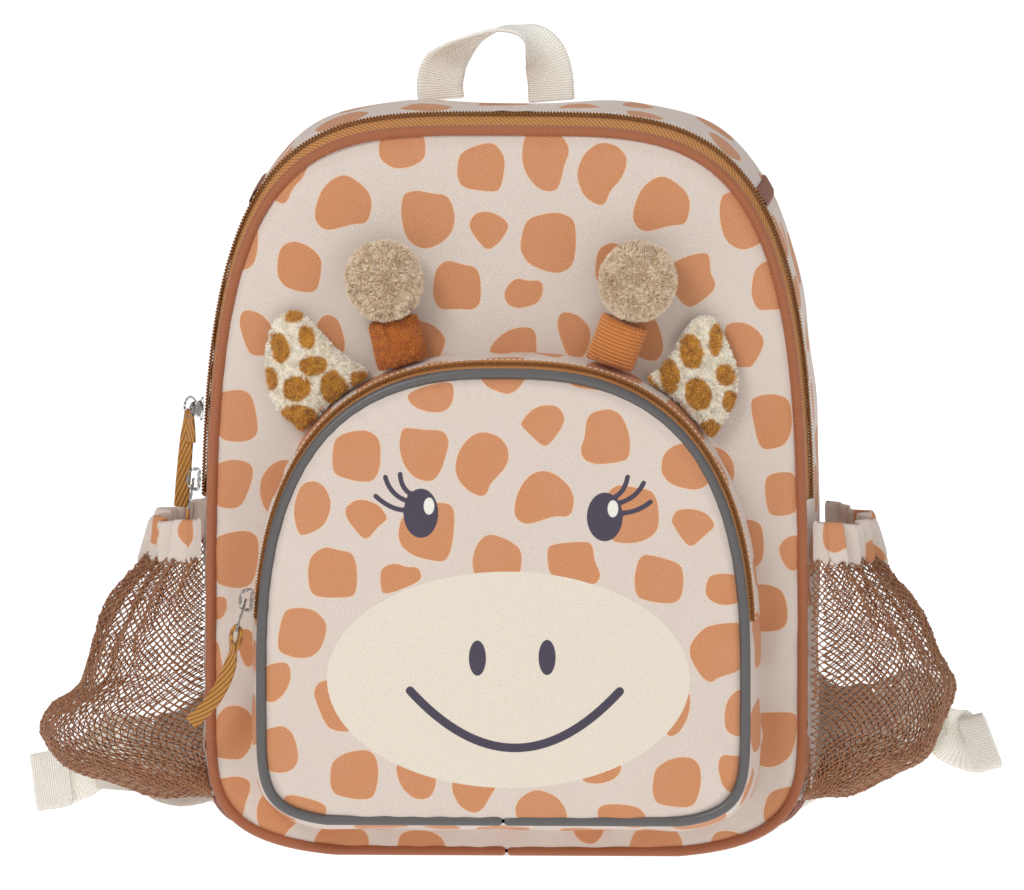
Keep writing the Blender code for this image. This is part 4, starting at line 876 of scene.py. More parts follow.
# Spots on the pocket's face, in the same way
FACE_SPOTS = (
    ((-43.5, 204.5), (-34.5, 208.5), (-23, 210.5), (-22.5, 203.5), (-24.5, 199), (-28, 197),
     (-34.5, 197.5), (-40, 199.5)),
    ((-12.5, 213), (-1.5, 215.5), (9, 213), (5, 207), (1, 205), (-3, 206), (-8, 208)),
    ((25, 211.5), (32, 214), (41, 211.5), (43, 206.5), (29.5, 208)),
    ((-73.5, 185.5), (-68.5, 188.5), (-59.5, 189.5), (-54.5, 185.5), (-54, 179), (-54.5, 172),
     (-57.5, 167), (-65.5, 167.5), (-74, 170), (-75, 176), (-74.5, 182)),
    ((-44.5, 190.5), (-38, 190), (-34.5, 189.5), (-27.5, 189.5), (-24.5, 185.5), (-25.5, 180),
     (-28, 172), (-31, 168), (-35, 167.5), (-40, 169.5), (-44, 174.5), (-46, 181.5), (-45.5, 187)),
    ((-18, 184), (-14.5, 187.5), (-9.5, 189), (-3, 187), (1, 182), (1, 176), (-1.5, 172), (-7, 166.5),
     (-8, 162.5), (-10.5, 161), (-15.5, 163), (-20.5, 168), (-22, 173.5), (-20.5, 180)),
    ((6, 192.5), (11, 198.5), (16, 200.5), (22.5, 200), (25.5, 195), (23.5, 190), (19, 184),
     (16, 182.5), (7.5, 190.5)),
    ((34.5, 194), (37, 197.5), (44, 199), (49, 197), (52, 191.5), (53.5, 185), (53, 177.5), (48, 176),
     (39, 175), (33.5, 177), (32, 181.5), (34, 187)),
    ((68, 179.5), (71.5, 183), (78.5, 184.5), (85, 180.5), (88, 173.5), (88.5, 168.5), (85, 165),
     (80, 164), (71, 166.5), (67, 171), (67, 176)),
    ((-88.5, 166), (-82, 167.5), (-77.5, 164), (-75.5, 158.5), (-76, 153.5), (-78.5, 148),
     (-84.5, 144.5), (-89.5, 143.5), (-92, 154.5)),
    ((-69.5, 155.5), (-65.5, 159), (-61.5, 159.5), (-55, 157.5), (-50.5, 151.5), (-55, 148),
     (-59, 143), (-61.5, 142.5), (-65, 146.5), (-68.5, 151)),
    ((-45, 152), (-38, 157.5), (-28, 158.5), (-23.5, 157.5), (-22, 153.5), (-22.5, 144.5),
     (-24, 136.5), (-26.5, 133), (-32, 133.5), (-40, 135.5), (-45, 139.5), (-46.5, 144.5)),
    ((7, 166.5), (11, 171), (16.5, 172.5), (22, 170.5), (27.5, 165.5), (29.5, 160), (28.5, 154.5),
     (26.5, 152.5), (21, 153), (9.5, 149), (5, 151), (3.5, 154.5), (4.5, 161)),
    ((44, 163.5), (48.5, 166.5), (56, 165), (62.5, 164), (65, 160), (66, 152), (65, 146), (59.5, 142),
     (52, 141), (45.5, 142), (43.5, 148.5), (43.5, 158.5)),
    ((71.5, 152), (73.5, 155.5), (80, 156), (86.5, 154), (90.5, 148.5), (85.5, 144.5), (81, 140),
     (78, 140), (71.5, 149.5)),
    ((-84.5, 134.5), (-78.5, 139), (-72, 137.5), (-66.5, 136.5), (-64.5, 132), (-64, 124.5),
     (-65, 118), (-69.5, 117), (-81, 117), (-84.5, 119.5), (-85.5, 127)),
    ((-54, 129.5), (-50.5, 131.5), (-47, 132), (-43, 130.5), (-38, 130.5), (-36.5, 128),
     (-36.5, 124.5), (-52.5, 118), (-54, 122)),
    ((-14.5, 133), (-13, 139.5), (-9.5, 144), (-6, 145), (1, 142.5), (6, 139), (7, 134.5), (6, 127),
     (-4.5, 122), (-13.5, 127)),
    ((18, 139.5), (22, 141), (35.5, 142), (37.5, 139.5), (38, 134), (41, 127.5), (39, 123.5),
     (32, 123), (19, 127), (18, 134)),
    ((57.5, 135), (61, 136.5), (75, 132.5), (76.5, 127), (76, 119), (73.5, 115.5), (68, 115),
     (57.5, 117), (55.5, 121), (55.5, 128)),
    ((86, 122.5), (87.5, 127), (93, 128), (100, 127), (102, 121), (101, 115.5), (94.5, 114),
     (89, 115.5), (86, 118.5)),
    ((-97, 106.5), (-95, 111.5), (-89.5, 112.5), (-82.5, 111.5), (-77.5, 106.5), (-77.5, 101.5),
     (-80, 94.5), (-84, 91), (-90.5, 90.5), (-98, 93), (-98.5, 98.5)),
    ((-103.5, 87.5), (-95, 89), (-93, 86), (-93, 80.5), (-96, 74.5), (-100.5, 71), (-105, 72),
     (-105.5, 81.5)),
    ((-83, 76), (-81, 80), (-77, 81.5), (-68.5, 79), (-63, 67.5), (-66, 59), (-73, 59), (-77.5, 61),
     (-82, 72)),
    ((-105, 59), (-96.5, 61.5), (-92.5, 58.5), (-90.5, 53.5), (-89.5, 47), (-91.5, 42.5),
     (-96.5, 40.5), (-103.5, 41.5), (-105.5, 51)),
    ((-75.5, 45), (-71.5, 48.5), (-66, 50.5), (-59.5, 51), (-56, 48), (-55, 41), (-56, 34),
     (-58, 29.5), (-66, 29.5), (-74, 31.5), (-76, 35.5)),
    ((-47.5, 45), (-47, 39.5), (-44.5, 34), (-40, 30), (-35, 29.5), (-31.5, 32), (-30, 38), (-31, 45),
     (-39.5, 49.5)),
    ((-23.5, 38), (-23, 32), (-19.5, 26), (-14, 23.5), (-10, 25.5), (-7, 31), (-3.5, 36.5),
     (-8.5, 41.5), (-18.5, 42.5)),
    ((3.5, 24), (5, 29.5), (10.5, 33.5), (15, 34), (22, 31), (25.5, 26), (26.5, 21), (19, 15.5),
     (8, 15.5)),
    ((39, 22.5), (40, 27), (45.5, 28), (52.5, 27.5), (58, 26), (61, 21), (55.5, 17), (44.5, 17)),
    ((64.5, 43.5), (69.5, 47), (75, 48.5), (80.5, 48), (83.5, 44.5), (84, 38), (82.5, 30.5), (80, 27),
     (75, 26.5), (65, 28), (63, 32.5), (63.5, 39.5)),
    ((31.5, 38), (40, 36.5), (47, 39), (49.5, 42.5), (49.5, 46), (44.5, 51), (36, 49.5)),
    ((69.5, 57), (74, 58.5), (78, 64.5), (79.5, 72), (78.5, 77.5), (72, 74.5), (68.5, 65)),
    ((79, 96), (81.5, 100.5), (86, 105), (94.5, 106.5), (101.5, 106.5), (103, 98.5), (102, 86),
     (91, 83), (88.5, 80.5), (85, 82.5), (81.5, 87.5), (79.5, 91.5)),
    ((94, 66), (95, 72.5), (98.5, 77), (103, 78), (105.5, 70.5), (104.5, 57), (98.5, 57.5), (94.5, 60)),
    ((91.5, 46.5), (93, 49.5), (98.5, 49), (104.5, 48), (104.5, 38), (100, 32), (96, 33), (93, 36.5),
     (91.5, 42.5)),
    ((-95, 32), (-79, 28), (-77, 24), (-81, 20), (-91, 21), (-96.5, 27)),
)

# The printed face, in mm: ovals as middle x and z, half width and half height
MUZZLE = (1.0, 81.8, 78.2, 47.0)
EYES = ((-36.6, 153.8, 7.5, 10.6), (42.6, 152.5, 7.7, 10.5))
GLINTS = ((-33.1, 156.9, 2.3, 3.7), (46.1, 156.0, 2.3, 3.7))
NOSTRILS = ((-12.2, 91.3, 3.7, 7.7), (17.8, 91.7, 3.7, 7.7))
SMILE = ((-41.3, 77.0), (3.6, 27.6), (49.0, 77.0))  # its two ends and the pull of its middle
LASHES = (
    ((-40.9, 162.0), (-45.2, 164.4), (-45.6, 170.6)),
    ((-43.5, 159.4), (-50.0, 162.0), (-52.0, 169.3)),
    ((-44.3, 155.1), (-50.2, 155.6), (-56.2, 161.1)),
    ((46.8, 161.0), (51.2, 163.2), (52.4, 169.8)),
    ((49.2, 158.6), (56.4, 160.8), (59.3, 167.2)),
    ((50.1, 154.2), (56.6, 154.4), (62.3, 159.0)),
)


def oval_distance(x, z, oval):
    middle_x, middle_z, half_width, half_height = oval
    level = np.hypot((x - middle_x) / half_width, (z - middle_z) / half_height)
    slope = np.hypot((x - middle_x) / half_width**2, (z - middle_z) / half_height**2) + 1e-6
    return (level - 1) * np.maximum(level, 0.05) / slope


def stroke_distance(x, z, start, pull, end, half):
    """Distance from a curved stroke with round ends."""
    nearest = np.full(np.shape(x), 60.0)
    share = np.linspace(0, 1, 33)[:, None]
    a, b, c = (np.array(p) for p in (start, pull, end))
    line = a * (1 - share) ** 2 + 2 * b * share * (1 - share) + c * share**2
    for p, q in zip(line, line[1:]):
        run = q - p
        along = ((x - p[0]) * run[0] + (z - p[1]) * run[1]) / (run @ run)
        along = np.clip(along, 0, 1)
        gap = np.hypot(x - p[0] - run[0] * along, z - p[1] - run[1] * along) - half
        nearest = np.minimum(nearest, gap)
    return nearest


def face_colour(tree):
    ivory = blend(tree, crossings(tree), "#DFD4C3", "#E6DCCD")
    cream = blend(tree, inside(tree, "muzzle"), printed_colour(tree), ivory)
    threads = blend(tree, crossings(tree), "#423A49", "#574F61")
    inked = blend(tree, inside(tree, "ink"), cream, threads)
    return blend(tree, inside(tree, "glint"), inked, "#E8E4DA")


# The same twill with the face printed on
FACE_TWILL = new_material(
    "printed polyester twill with a face", face_colour, 0.62, crossings, TWILL_RELIEF, **TWILL_SHINE
)


def pocket_swell(x, z):
    return swell(x, z, POCKET_WIDTH, POCKET_LOW, POCKET_TOP, POCKET_DOME)


pocket_cut = (
    POCKET_WIDTH / 2 - HEM,
    POCKET_WIDEST,
    POCKET_LOW + HEM,
    POCKET_TOP - HEM,
    POCKET_ARCH,
    POCKET_FOOT,
)
FACE_GRID = 1.05 * MM  # finer than the body's, for the lashes
x, z, faces, level = arch_cloth(*pocket_cut, FACE_GRID)
y = POCKET_FRONT + PANEL_SET - pocket_swell(x, z) - puckers(x, z, level, 0.0005)
y = y + SEAM_GROOVE * np.clip((level - 0.966) / 0.03, 0, 1)
across, up = x / MM - PRINT_SHIFT, z / MM
ink = np.minimum.reduce([oval_distance(across, up, oval) for oval in (*EYES, *NOSTRILS)])
ink = np.minimum.reduce([ink, *(stroke_distance(across, up, *lash, 1.05) for lash in LASHES)])
ink = np.minimum(ink, stroke_distance(across, up, *SMILE, 1.9))
pocket_face = new_mesh(
    "pocket_cloth",
    np.stack([x, y, z], axis=1),
    faces,
    FACE_TWILL,
    np.stack([across, up], axis=1),
    spot=spot_distance(across, up, FACE_SPOTS),
    muzzle=oval_distance(across, up, MUZZLE),
    ink=ink,
    glint=np.minimum.reduce([oval_distance(across, up, oval) for oval in GLINTS]),
)
sewn_on(pocket_face, "printed_fabric", "pocket_face")

# Smooth grey piping round the pocket's face, which gives back light at night.
POCKET = outline(POCKET_WIDTH / 2, POCKET_WIDEST, POCKET_LOW, POCKET_TOP, POCKET_ARCH, POCKET_FOOT)


def grey_colour(tree):
    return blend(tree, mottle(tree, 2.0, 0.0, 0.35), "#625F5F", "#545253")


def glass_beads(tree):
    return mottle(tree, 0.8, 0.0, 1.0, 1.0)


# Reflective tape of tiny glass beads: smooth, satin, slightly metallic grey
REFLECTIVE_TAPE = new_material(
    "grey reflective tape", grey_colour, 0.42, glass_beads, 0.03, Metallic=0.25, Specular_IOR_Level=0.4
)
pocket_piping = cord_along("pocket_cord", POCKET, POCKET_PIPING, POCKET_FRONT, REFLECTIVE_TAPE)
sewn_on(pocket_piping, "grey_piping", "pocket_piping")

# The pocket's gusset joins it to the body: a zip over the top and printed cloth round the foot.
POCKET_FLARE_TOP, POCKET_FLARE_SIDE, POCKET_FLARE_LOW = 0.0045, 0.0035, 0.0055
POCKET_DEPTH = 0.030  # of its gusset, about
POCKET_TAPE = 0.0090
POCKET_TAPE_OVER = 0.10  # share of the gusset that the rear tape laps over
POCKET_COIL_AT = 0.0065
POCKET_ZIP_LOW = 0.106


def pocket_points(shares, depths, lift=0.0, past=0.0008):
    """Points on the pocket gusset: a depth from 0 to 1 is a share of the way to the body."""
    x, z, out_x, out_z = (a[:, None] for a in stations(POCKET, shares))
    flare = POCKET_FLARE_SIDE + (POCKET_FLARE_TOP - POCKET_FLARE_SIDE) * np.maximum(0, out_z)
    flare = flare + (POCKET_FLARE_LOW - POCKET_FLARE_SIDE) * np.maximum(0, -out_z)
    back = panel_front(x + out_x * flare, z + out_z * flare) + past
    y = POCKET_SEAM + (back - POCKET_SEAM) * depths[None, :]
    out = (flare + SEAM_SINK) * np.clip(depths[None, :], 0, 1) ** 0.7 - SEAM_SINK + lift
    return np.stack([x + out_x * out, y + 0 * out, z + out_z * out], axis=2)


def pocket_gusset_cloth(shares, depths):
    around = -(shares - 0.5) * POCKET.length / MM
    return np.stack([np.repeat(around, len(depths)), np.tile(depths * 30.0, len(shares))], axis=1)


def pocket_creases(shares, depths, height):
    around = (shares * POCKET.length)[:, None]
    deep = depths[None, :]
    gathers = np.sin(around * 520 + 2 * np.sin(around * 90)) * np.exp(-abs(deep - 0.35) / 0.15)
    return height * (0.7 * gathers + np.sin(around * 120 + deep * 6)) * np.clip((1 - deep) / 0.1, 0, 1)


pocket_zip_from = height_share(POCKET, POCKET_ZIP_LOW)
pocket_tape_share = POCKET_TAPE / POCKET_DEPTH
for name, start, end, front, node in (
    ("pocket_top_cloth", pocket_zip_from, 1 - pocket_zip_from, pocket_tape_share, "pocket_gusset_upper"),
    ("pocket_foot_cloth", -pocket_zip_from, pocket_zip_from, 0.0, "pocket_gusset_lower"),
):
    shares = np.linspace(start, end, int((end - start) * POCKET.length / (1.2 * MM)))
    depths = np.linspace(front, 1.0, int((1 - front) * 30))
    cloth = pocket_gusset_cloth(shares, depths)
    piece = strip(
        name,
        pocket_points(shares, depths, pocket_creases(shares, depths, 0.0004) - 0.0002),
        PRINTED_TWILL,
        cloth,
        spot=repeat_distance(cloth[:, 0] + 20.0, cloth[:, 1] + 262.0),
    )
    sewn_on(piece, "printed_fabric", node)

tape_shares = np.linspace(pocket_zip_from, 1 - pocket_zip_from, 480)
tape_depths = np.linspace(0, pocket_tape_share + POCKET_TAPE_OVER, 14)
over_gusset = 0.0011 * np.clip((tape_depths - 0.24) / 0.08, 0, 1)[None, :] - 0.0006
pocket_tape = strip(
    "pocket_zip_cloth",
    pocket_points(tape_shares, tape_depths, over_gusset),
    CARAMEL_TAPE,
    pocket_gusset_cloth(tape_shares, tape_depths),
)
sewn_on(pocket_tape, "zip_tape", "pocket_zip_tape")


def pocket_coil_place(along):
    shares = along_zip(pocket_zip_from, along)
    depth = np.array([POCKET_COIL_AT / POCKET_DEPTH])
    return pocket_points(shares, depth, -0.0003)[:, 0, :], outward(POCKET, shares)


pocket_zip_length = POCKET.length * (1 - 2 * pocket_zip_from)
coil = zip_coil("pocket_zip_teeth", pocket_coil_place, pocket_zip_length, 1.3 * MM, 0.72)
sewn_on(coil, "zip_coil", "pocket_zip_coil")


def pocket_thread(along):
    shares = along_zip(pocket_zip_from, along)
    depth = np.array([pocket_tape_share + POCKET_TAPE_OVER - 0.015])
    return pocket_points(shares, depth, 0.0005)[:, 0, :], outward(POCKET, shares)


sewn_on(stitches("pocket_seam_thread", pocket_thread, 140), "printed_fabric")

# Sliders, ring and tabs: zinc castings and bent wire, polished and nickel plated.
def nickel_roughness(tree):
    return mottle(tree, 3.0, 0.30, 0.42)


# Nickel plate: bright, a little clouded by handling; its colour is darker than bare nickel, as a painted
# reflection of dark surroundings
NICKEL_PLATE = new_material("nickel plated zinc", "#94908B", nickel_roughness, Metallic=1.0)


def moulded(name, finish, edge, segments):
    """Gives a CAD node its finish and rounds its edges."""
    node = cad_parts[name]
    node.data.materials.clear()
    node.data.materials.append(finish)
    rounded = node.modifiers.new("rounded edges", "BEVEL")
    rounded.width = edge
    rounded.segments = segments
    rounded.limit_method = "ANGLE"
    return node


for name in ("main_slider", "low_slider", "pocket_slider", "low_tab", "pocket_tab", "main_ring"):
    smooth = moulded(name, NICKEL_PLATE, 0.3 * MM, 2).modifiers.new("smooth", "SUBSURF")
    smooth.levels = smooth.render_levels = 2

# The pulls: ochre webbing folded over its ring or tab, the two layers sewn together.
PULL_WALL = 0.0011

# Ochre polyester webbing: coarse slanting ribs, silky, with a painted highlight in the light tone on each rib
PULL_RIBS = (0.35, 0.94, 1.7)
OCHRE_WEBBING = new_material(
    "ochre ribbed webbing",
    ribbed_colour(PULL_RIBS, "#8C5414", "#CE9138", 4.0, 0.2, "#A96A1C"),
    0.55,
    woven_relief(PULL_RIBS, (1.0, 0.0, 0.9), 0.4),
    0.35,
    Sheen_Weight=0.2,
)


def eased(points, count):
    """A smooth run of count points through the given ones."""
    points = np.asarray(points, dtype=float)
    gaps = np.linalg.norm(np.diff(points[:, :3], axis=0), axis=1)
    knots = np.concatenate([[0], np.cumsum(gaps)])
    slopes = np.gradient(points, knots, axis=0)
    at = np.linspace(0, knots[-1], count)
    k = np.clip(np.searchsorted(knots, at, side="right") - 1, 0, len(points) - 2)
    span = (knots[k + 1] - knots[k])[:, None]
    t = (at - knots[k])[:, None] / span
    swerve = slopes[k] * (t - 1) + slopes[k + 1] * t
    share = 3 * t**2 - 2 * t**3
    return points[k] * (1 - share) + points[k + 1] * share + swerve * span * t * (t - 1)


def webbing_band(name, route, wall, finish, selvedge=0.15 * MM, columns=12, pitch=0.5 * MM):
    """A woven band. Each row of the route is a point, the direction of its width, and the width."""
    route = np.asarray(route, dtype=float)
    length = np.linalg.norm(np.diff(route[:, :3], axis=0), axis=1).sum()
    run = eased(route, max(8, int(length / pitch)))
    points, widths = run[:, :3], run[:, 6]
    ahead = unit(np.gradient(points, axis=0))
    side = unit(run[:, 3:6] - ahead * (run[:, 3:6] * ahead).sum(axis=1, keepdims=True))
    face = np.cross(side, ahead)
    share = np.linspace(-1, 1, columns + 1)
    thick = wall / 2 * np.ones(columns + 1)
    thick[[0, -1]] *= 0.45
    thick[[1, -2]] += selvedge
    across = np.concatenate([share, share[::-1]])[None, :] * widths[:, None] / 2
    lift = np.concatenate([thick, -thick[::-1]])
    verts = points[:, None, :] + side[:, None, :] * across[..., None] + face[:, None, :] * lift[None, :, None]
    rows, columns = across.shape
    along = np.linspace(0, length / MM, rows)
    cloth = np.stack([np.repeat(along, columns), across.ravel() / MM], axis=1)
    verts[[0, -1]] = verts[[0, -1]] * 0.9 + verts[[0, -1]].mean(axis=1, keepdims=True) * 0.1
    caps = [
        (first + k, first + k + 1, first + columns - 2 - k, first + columns - 1 - k)
        for first in (0, (rows - 1) * columns)
        for k in range(columns // 2 - 1)
    ]
    faces = np.concatenate([grid_faces(rows, columns, around=True), caps])
    return new_mesh(name, verts.reshape(-1, 3), faces, finish, cloth)


def hanging_pull(name, node, route):
    """A zip's pull; the places and widths of its route are in mm."""
    route = np.array(route) * [MM, MM, MM, 1, 1, 1, MM]
    band = webbing_band(name, route, PULL_WALL, OCHRE_WEBBING, pitch=0.35 * MM)
    return sewn_on(band, "ochre_webbing", node)


# The upper one hangs from the foot of its ring, which lies turned to the rear.
# Rows from the ring's foot: across, back and up in mm, turn of the width in degrees, width in mm
RING_TURN = math.radians(52)
MAIN_PULL = (
    (0.6, -1.2, -11.0, 38, 5.8),
    (0.8, -1.3, -6.0, 40, 5.0),
    (0.9, -1.3, -2.0, 46, 3.8),
    (0.7, -1.0, 1.0, 52, 3.2),
    (0.0, 0.0, 2.3, 52, 3.0),
    (-0.7, 1.0, 1.0, 50, 3.2),
    (-0.9, 1.2, -2.0, 42, 4.2),
    (-1.0, 1.3, -8.0, 30, 6.2),
    (-1.6, 2.0, -15.0, 22, 6.4),
    (-2.4, 3.4, -24.0, 12, 6.4),
    (-3.2, 4.7, -33.0, 5, 6.4),
    (-3.7, 5.5, -39.6, 0, 6.4),
)
ring_low, ring_high = (np.array(corner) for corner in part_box("main_ring"))
ring_radius = (ring_high[2] - ring_low[2]) / 2 - 0.00055
ring_foot = (ring_low + ring_high) / 2
ring_foot += ring_radius * np.array([-0.25 * math.cos(RING_TURN), 0.25 * math.sin(RING_TURN), -0.97])
route = []
for across, back, up, turned, width in MAIN_PULL:
    turned = math.radians(turned)
    place = ring_foot / MM + [across, back, up]
    route.append((*place, math.cos(turned), -math.sin(turned), 0.0, width))
hanging_pull("main_pull_webbing", "main_puller", route)
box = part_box("low_puller")
mid = [(a + b) / 2 / MM for a, b in zip(*box)]
hanging_pull(
    "low_pull_webbing",
    "low_puller",
    (
        (mid[0], mid[1], box[1][2] / MM - 1, 0, 1, 0, 3.4),
        (mid[0] - 0.3, mid[1], box[1][2] / MM - 5, 0, 1, 0, 5.5),
        (mid[0] - 0.4, mid[1], mid[2], 0, 1, 0, 6.4),
        (mid[0], mid[1], box[0][2] / MM + 0.5, 0, 1, 0, 6.4),
    ),
)
hanging_pull(
    "pocket_pull_webbing",
    "pocket_puller",
    (
        (-115.8, -72.0, 93.0, 0.5, -0.8, 0.0, 3.6),
        (-113.9, -72.4, 98.5, 0.5, -0.8, 0.0, 3.0),
        (-114.1, -72.6, 102.0, 0.3, -0.9, 0.0, 2.6),
        (-115.4, -72.6, 103.2, 0.1, -1.0, 0.0, 2.6),
        (-117.0, -72.4, 101.6, 0.1, -1.0, 0.0, 2.8),
        (-117.8, -72.0, 98.0, 0.2, -0.9, 0.0, 3.0),
        (-117.0, -71.6, 92.5, 0.6, -0.7, 0.0, 4.2),
        (-118.0, -71.2, 87.0, 0.85, -0.45, -0.25, 5.6),
        (-121.0, -71.0, 79.0, 0.90, -0.25, -0.42, 6.2),
        (-125.6, -70.6, 71.0, 0.83, -0.10, -0.55, 6.4),
        (-131.2, -70.0, 64.5, 0.72, 0.0, -0.69, 6.4),
        (-135.6, -69.4, 60.8, 0.66, 0.05, -0.75, 6.4),
    ),
)

# Two stuffed horns: an orange stem, in terry on one side and rib knit on the other,
# with a knob of beige cropped plush gathered on top.
generator = np.random.default_rng(7)


def smooth_copy(node, name, level, finish):
    """A copy of a CAD piece with its facets rounded off."""
    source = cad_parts[node]
    piece = bpy.data.objects.new(name, source.data.copy())
    bpy.context.scene.collection.objects.link(piece)
    weld = piece.modifiers.new("weld", "WELD")
    weld.merge_threshold = 1e-6
    soft = piece.modifiers.new("soft", "SUBSURF")
    soft.levels = soft.render_levels = level
    bpy.context.view_layer.update()
    mesh = bpy.data.meshes.new_from_object(piece.evaluated_get(bpy.context.evaluated_depsgraph_get()))
    piece.modifiers.clear()
    piece.data = mesh
    mesh.materials.clear()
    mesh.materials.append(finish)
    mesh.shade_smooth()
    return piece


def mesh_arrays(mesh):
    """The points and normals of a mesh, and its triangles' corners."""
    mesh.calc_loop_triangles()
    points, normals = np.zeros((2, len(mesh.vertices) * 3))
    mesh.vertices.foreach_get("co", points)
    mesh.vertices.foreach_get("normal", normals)
    corners = np.zeros(len(mesh.loop_triangles) * 3, dtype=int)
    mesh.loop_triangles.foreach_get("vertices", corners)
    return points.reshape(-1, 3), normals.reshape(-1, 3), corners.reshape(-1, 3)


def pile(name, skin, count, length, width, finish, lean, clumps, pull, tint=None):
    """Short tapered tufts all over a skin, leaning into clumps, joined into one piece with it."""
    points, normals, corners = mesh_arrays(skin.data)
    a, b, c = (points[corners[:, i]] for i in range(3))
    area = np.linalg.norm(np.cross(b - a, c - a), axis=1)
    chosen = generator.choice(len(area), count, p=area / area.sum())
    u, v = generator.random((2, count, 1))
    flip = (u + v) > 1
    u, v = np.where(flip, 1 - u, u), np.where(flip, 1 - v, v)
    root = a[chosen] + u * (b - a)[chosen] + v * (c - a)[chosen]
    out = unit(normals[corners[chosen]].mean(axis=1))
    middle = root[generator.choice(count, clumps)]
    nearest = np.array([np.argmin(((middle - r) ** 2).sum(axis=1)) for r in root])
    size = length * generator.uniform(0.65, 1.1, (count, 1))
    drift = generator.normal(0, lean, (clumps, 3))[nearest] + generator.normal(0, lean * 0.5, (count, 3))
    tip = root + unit(out + drift) * size
    inward = middle[nearest] - root
    tip = tip + (inward - out * (inward * out).sum(axis=1, keepdims=True)) * pull
    mid = root + out * size * 0.55 + (tip - root - out * size) * 0.25
    side = unit(np.cross(out, generator.normal(0, 1, (count, 3)))) * width / 2
    root = root - out * 0.3 * MM
    blades = np.stack([root - side, root + side, mid + side * 0.8, mid - side * 0.8, tip], axis=1)
    base = np.arange(count)[:, None] * 5 + len(points)
    quads = base + np.array([[0, 1, 2, 3]])
    tips = base + np.array([[3, 2, 4]])
    verts = np.concatenate([points, blades.reshape(-1, 3)])
    faces = corners.tolist() + quads.tolist() + tips.tolist()
    fields = {
        "reach": np.concatenate([np.zeros(len(points)), np.tile([0.1, 0.1, 0.6, 0.6, 1.0], count)]),
        "tone": np.concatenate([np.full(len(points), 0.2), np.repeat(generator.random(count), 5)]),
    }
    if tint:
        fields["spot"] = np.concatenate([tint(points), np.repeat(tint(root), 5)])
    bpy.data.objects.remove(skin)
    return new_mesh(name, verts, faces, finish, **fields)


def fibre_with_painted_shade(tree, dark, light, pale):
    """Colour of pile: dark at its roots as painted shade between the tufts, light at its tips as painted
    light on them, and each tuft a little its own.
    """
    tuft = blend(tree, attribute(tree, "reach"), dark, light)
    return blend(tree, combine(tree, "MULTIPLY", attribute(tree, "tone"), 0.45), tuft, pale)


def new_plush(name, colour, roughness=0.85, sheen=0.3):
    return new_material(
        name, colour, roughness, Sheen_Weight=sheen, Sheen_Roughness=0.6, Specular_IOR_Level=0.2
    )


def beige_pile(tree):
    return fibre_with_painted_shade(tree, "#CBAC82", "#F8E4C6", "#FFF6E6")


def orange_terry(tree):
    return fibre_with_painted_shade(tree, "#B05C17", "#E08633", "#F2A551")


# Cropped acrylic plush: painted shade darkens the gaps between clumped tufts, and painted light makes the
# tips pale
BEIGE_PLUSH = new_plush("beige cropped plush", beige_pile, 0.80, 0.35)
# Cotton terry: short matt loops, painted darker at their roots as shade and lighter at their tips as light
ORANGE_TERRY = new_plush("orange terry", orange_terry)
STITCH_ROW, STITCH_WALE = 1.6, 1.1  # rows and columns of the knit, in mm


def knit_colour(tree):
    grid = combine(tree, "MULTIPLY", wave(tree, 0.0, 1.0, STITCH_ROW), wave(tree, 1.0, 0.0, STITCH_WALE))
    return blend(tree, combine(tree, "MULTIPLY", grid, 1.6), "#B4642A", "#DC9450")


# Orange cotton knit: soft matt ribs round the stem
ORANGE_KNIT = new_plush("orange rib knit", knit_colour)
for side in ("left", "right"):
    knob = smooth_copy(f"horn_knob_{side}", f"knob_{side}", 2, BEIGE_PLUSH)
    knob = pile(knob.name, knob, 18000, 2.3 * MM, 0.42 * MM, BEIGE_PLUSH, 0.45, 420, 0.30)
    sewn_on(knob, "knob_plush", f"horn_knob_{side}")

stem = smooth_copy("horn_stem_left", "stem_left", 2, ORANGE_TERRY)
stem = pile("stem_left", stem, 9000, 1.0 * MM, 0.36 * MM, ORANGE_TERRY, 0.6, 500, 0.3)
sewn_on(stem, "horn_knit", "horn_stem_left")

# The knit stem: rows of stitches along its length, each a small plump loop
stem = smooth_copy("horn_stem_right", "stem_right", 4, ORANGE_KNIT)
points, normals, corners = mesh_arrays(stem.data)
lean = math.radians(21)  # of the stem, to the side
up_stem = np.array([math.sin(lean), -0.10, math.cos(lean)])
height = (points @ up_stem) / MM
stem_radius = 9.0  # mm
centred = points - points.mean(axis=0)
around = np.arctan2(centred[:, 1], centred[:, 0] - centred[:, 2] * math.tan(lean)) * stem_radius
rows = np.cos(height / STITCH_ROW * 2 * math.pi)
loops = np.cos(around / STITCH_WALE * 2 * math.pi)
points = points + normals * ((0.26 * rows + 0.12 * loops) * MM)[:, None]
stem.data.vertices.foreach_set("co", points.ravel())
layer = stem.data.attributes.new("cloth", "FLOAT_VECTOR", "POINT")
layer.data.foreach_set("vector", np.stack([around, height, 0 * height], axis=1).ravel())
sewn_on(stem, "horn_knit", "horn_stem_right")

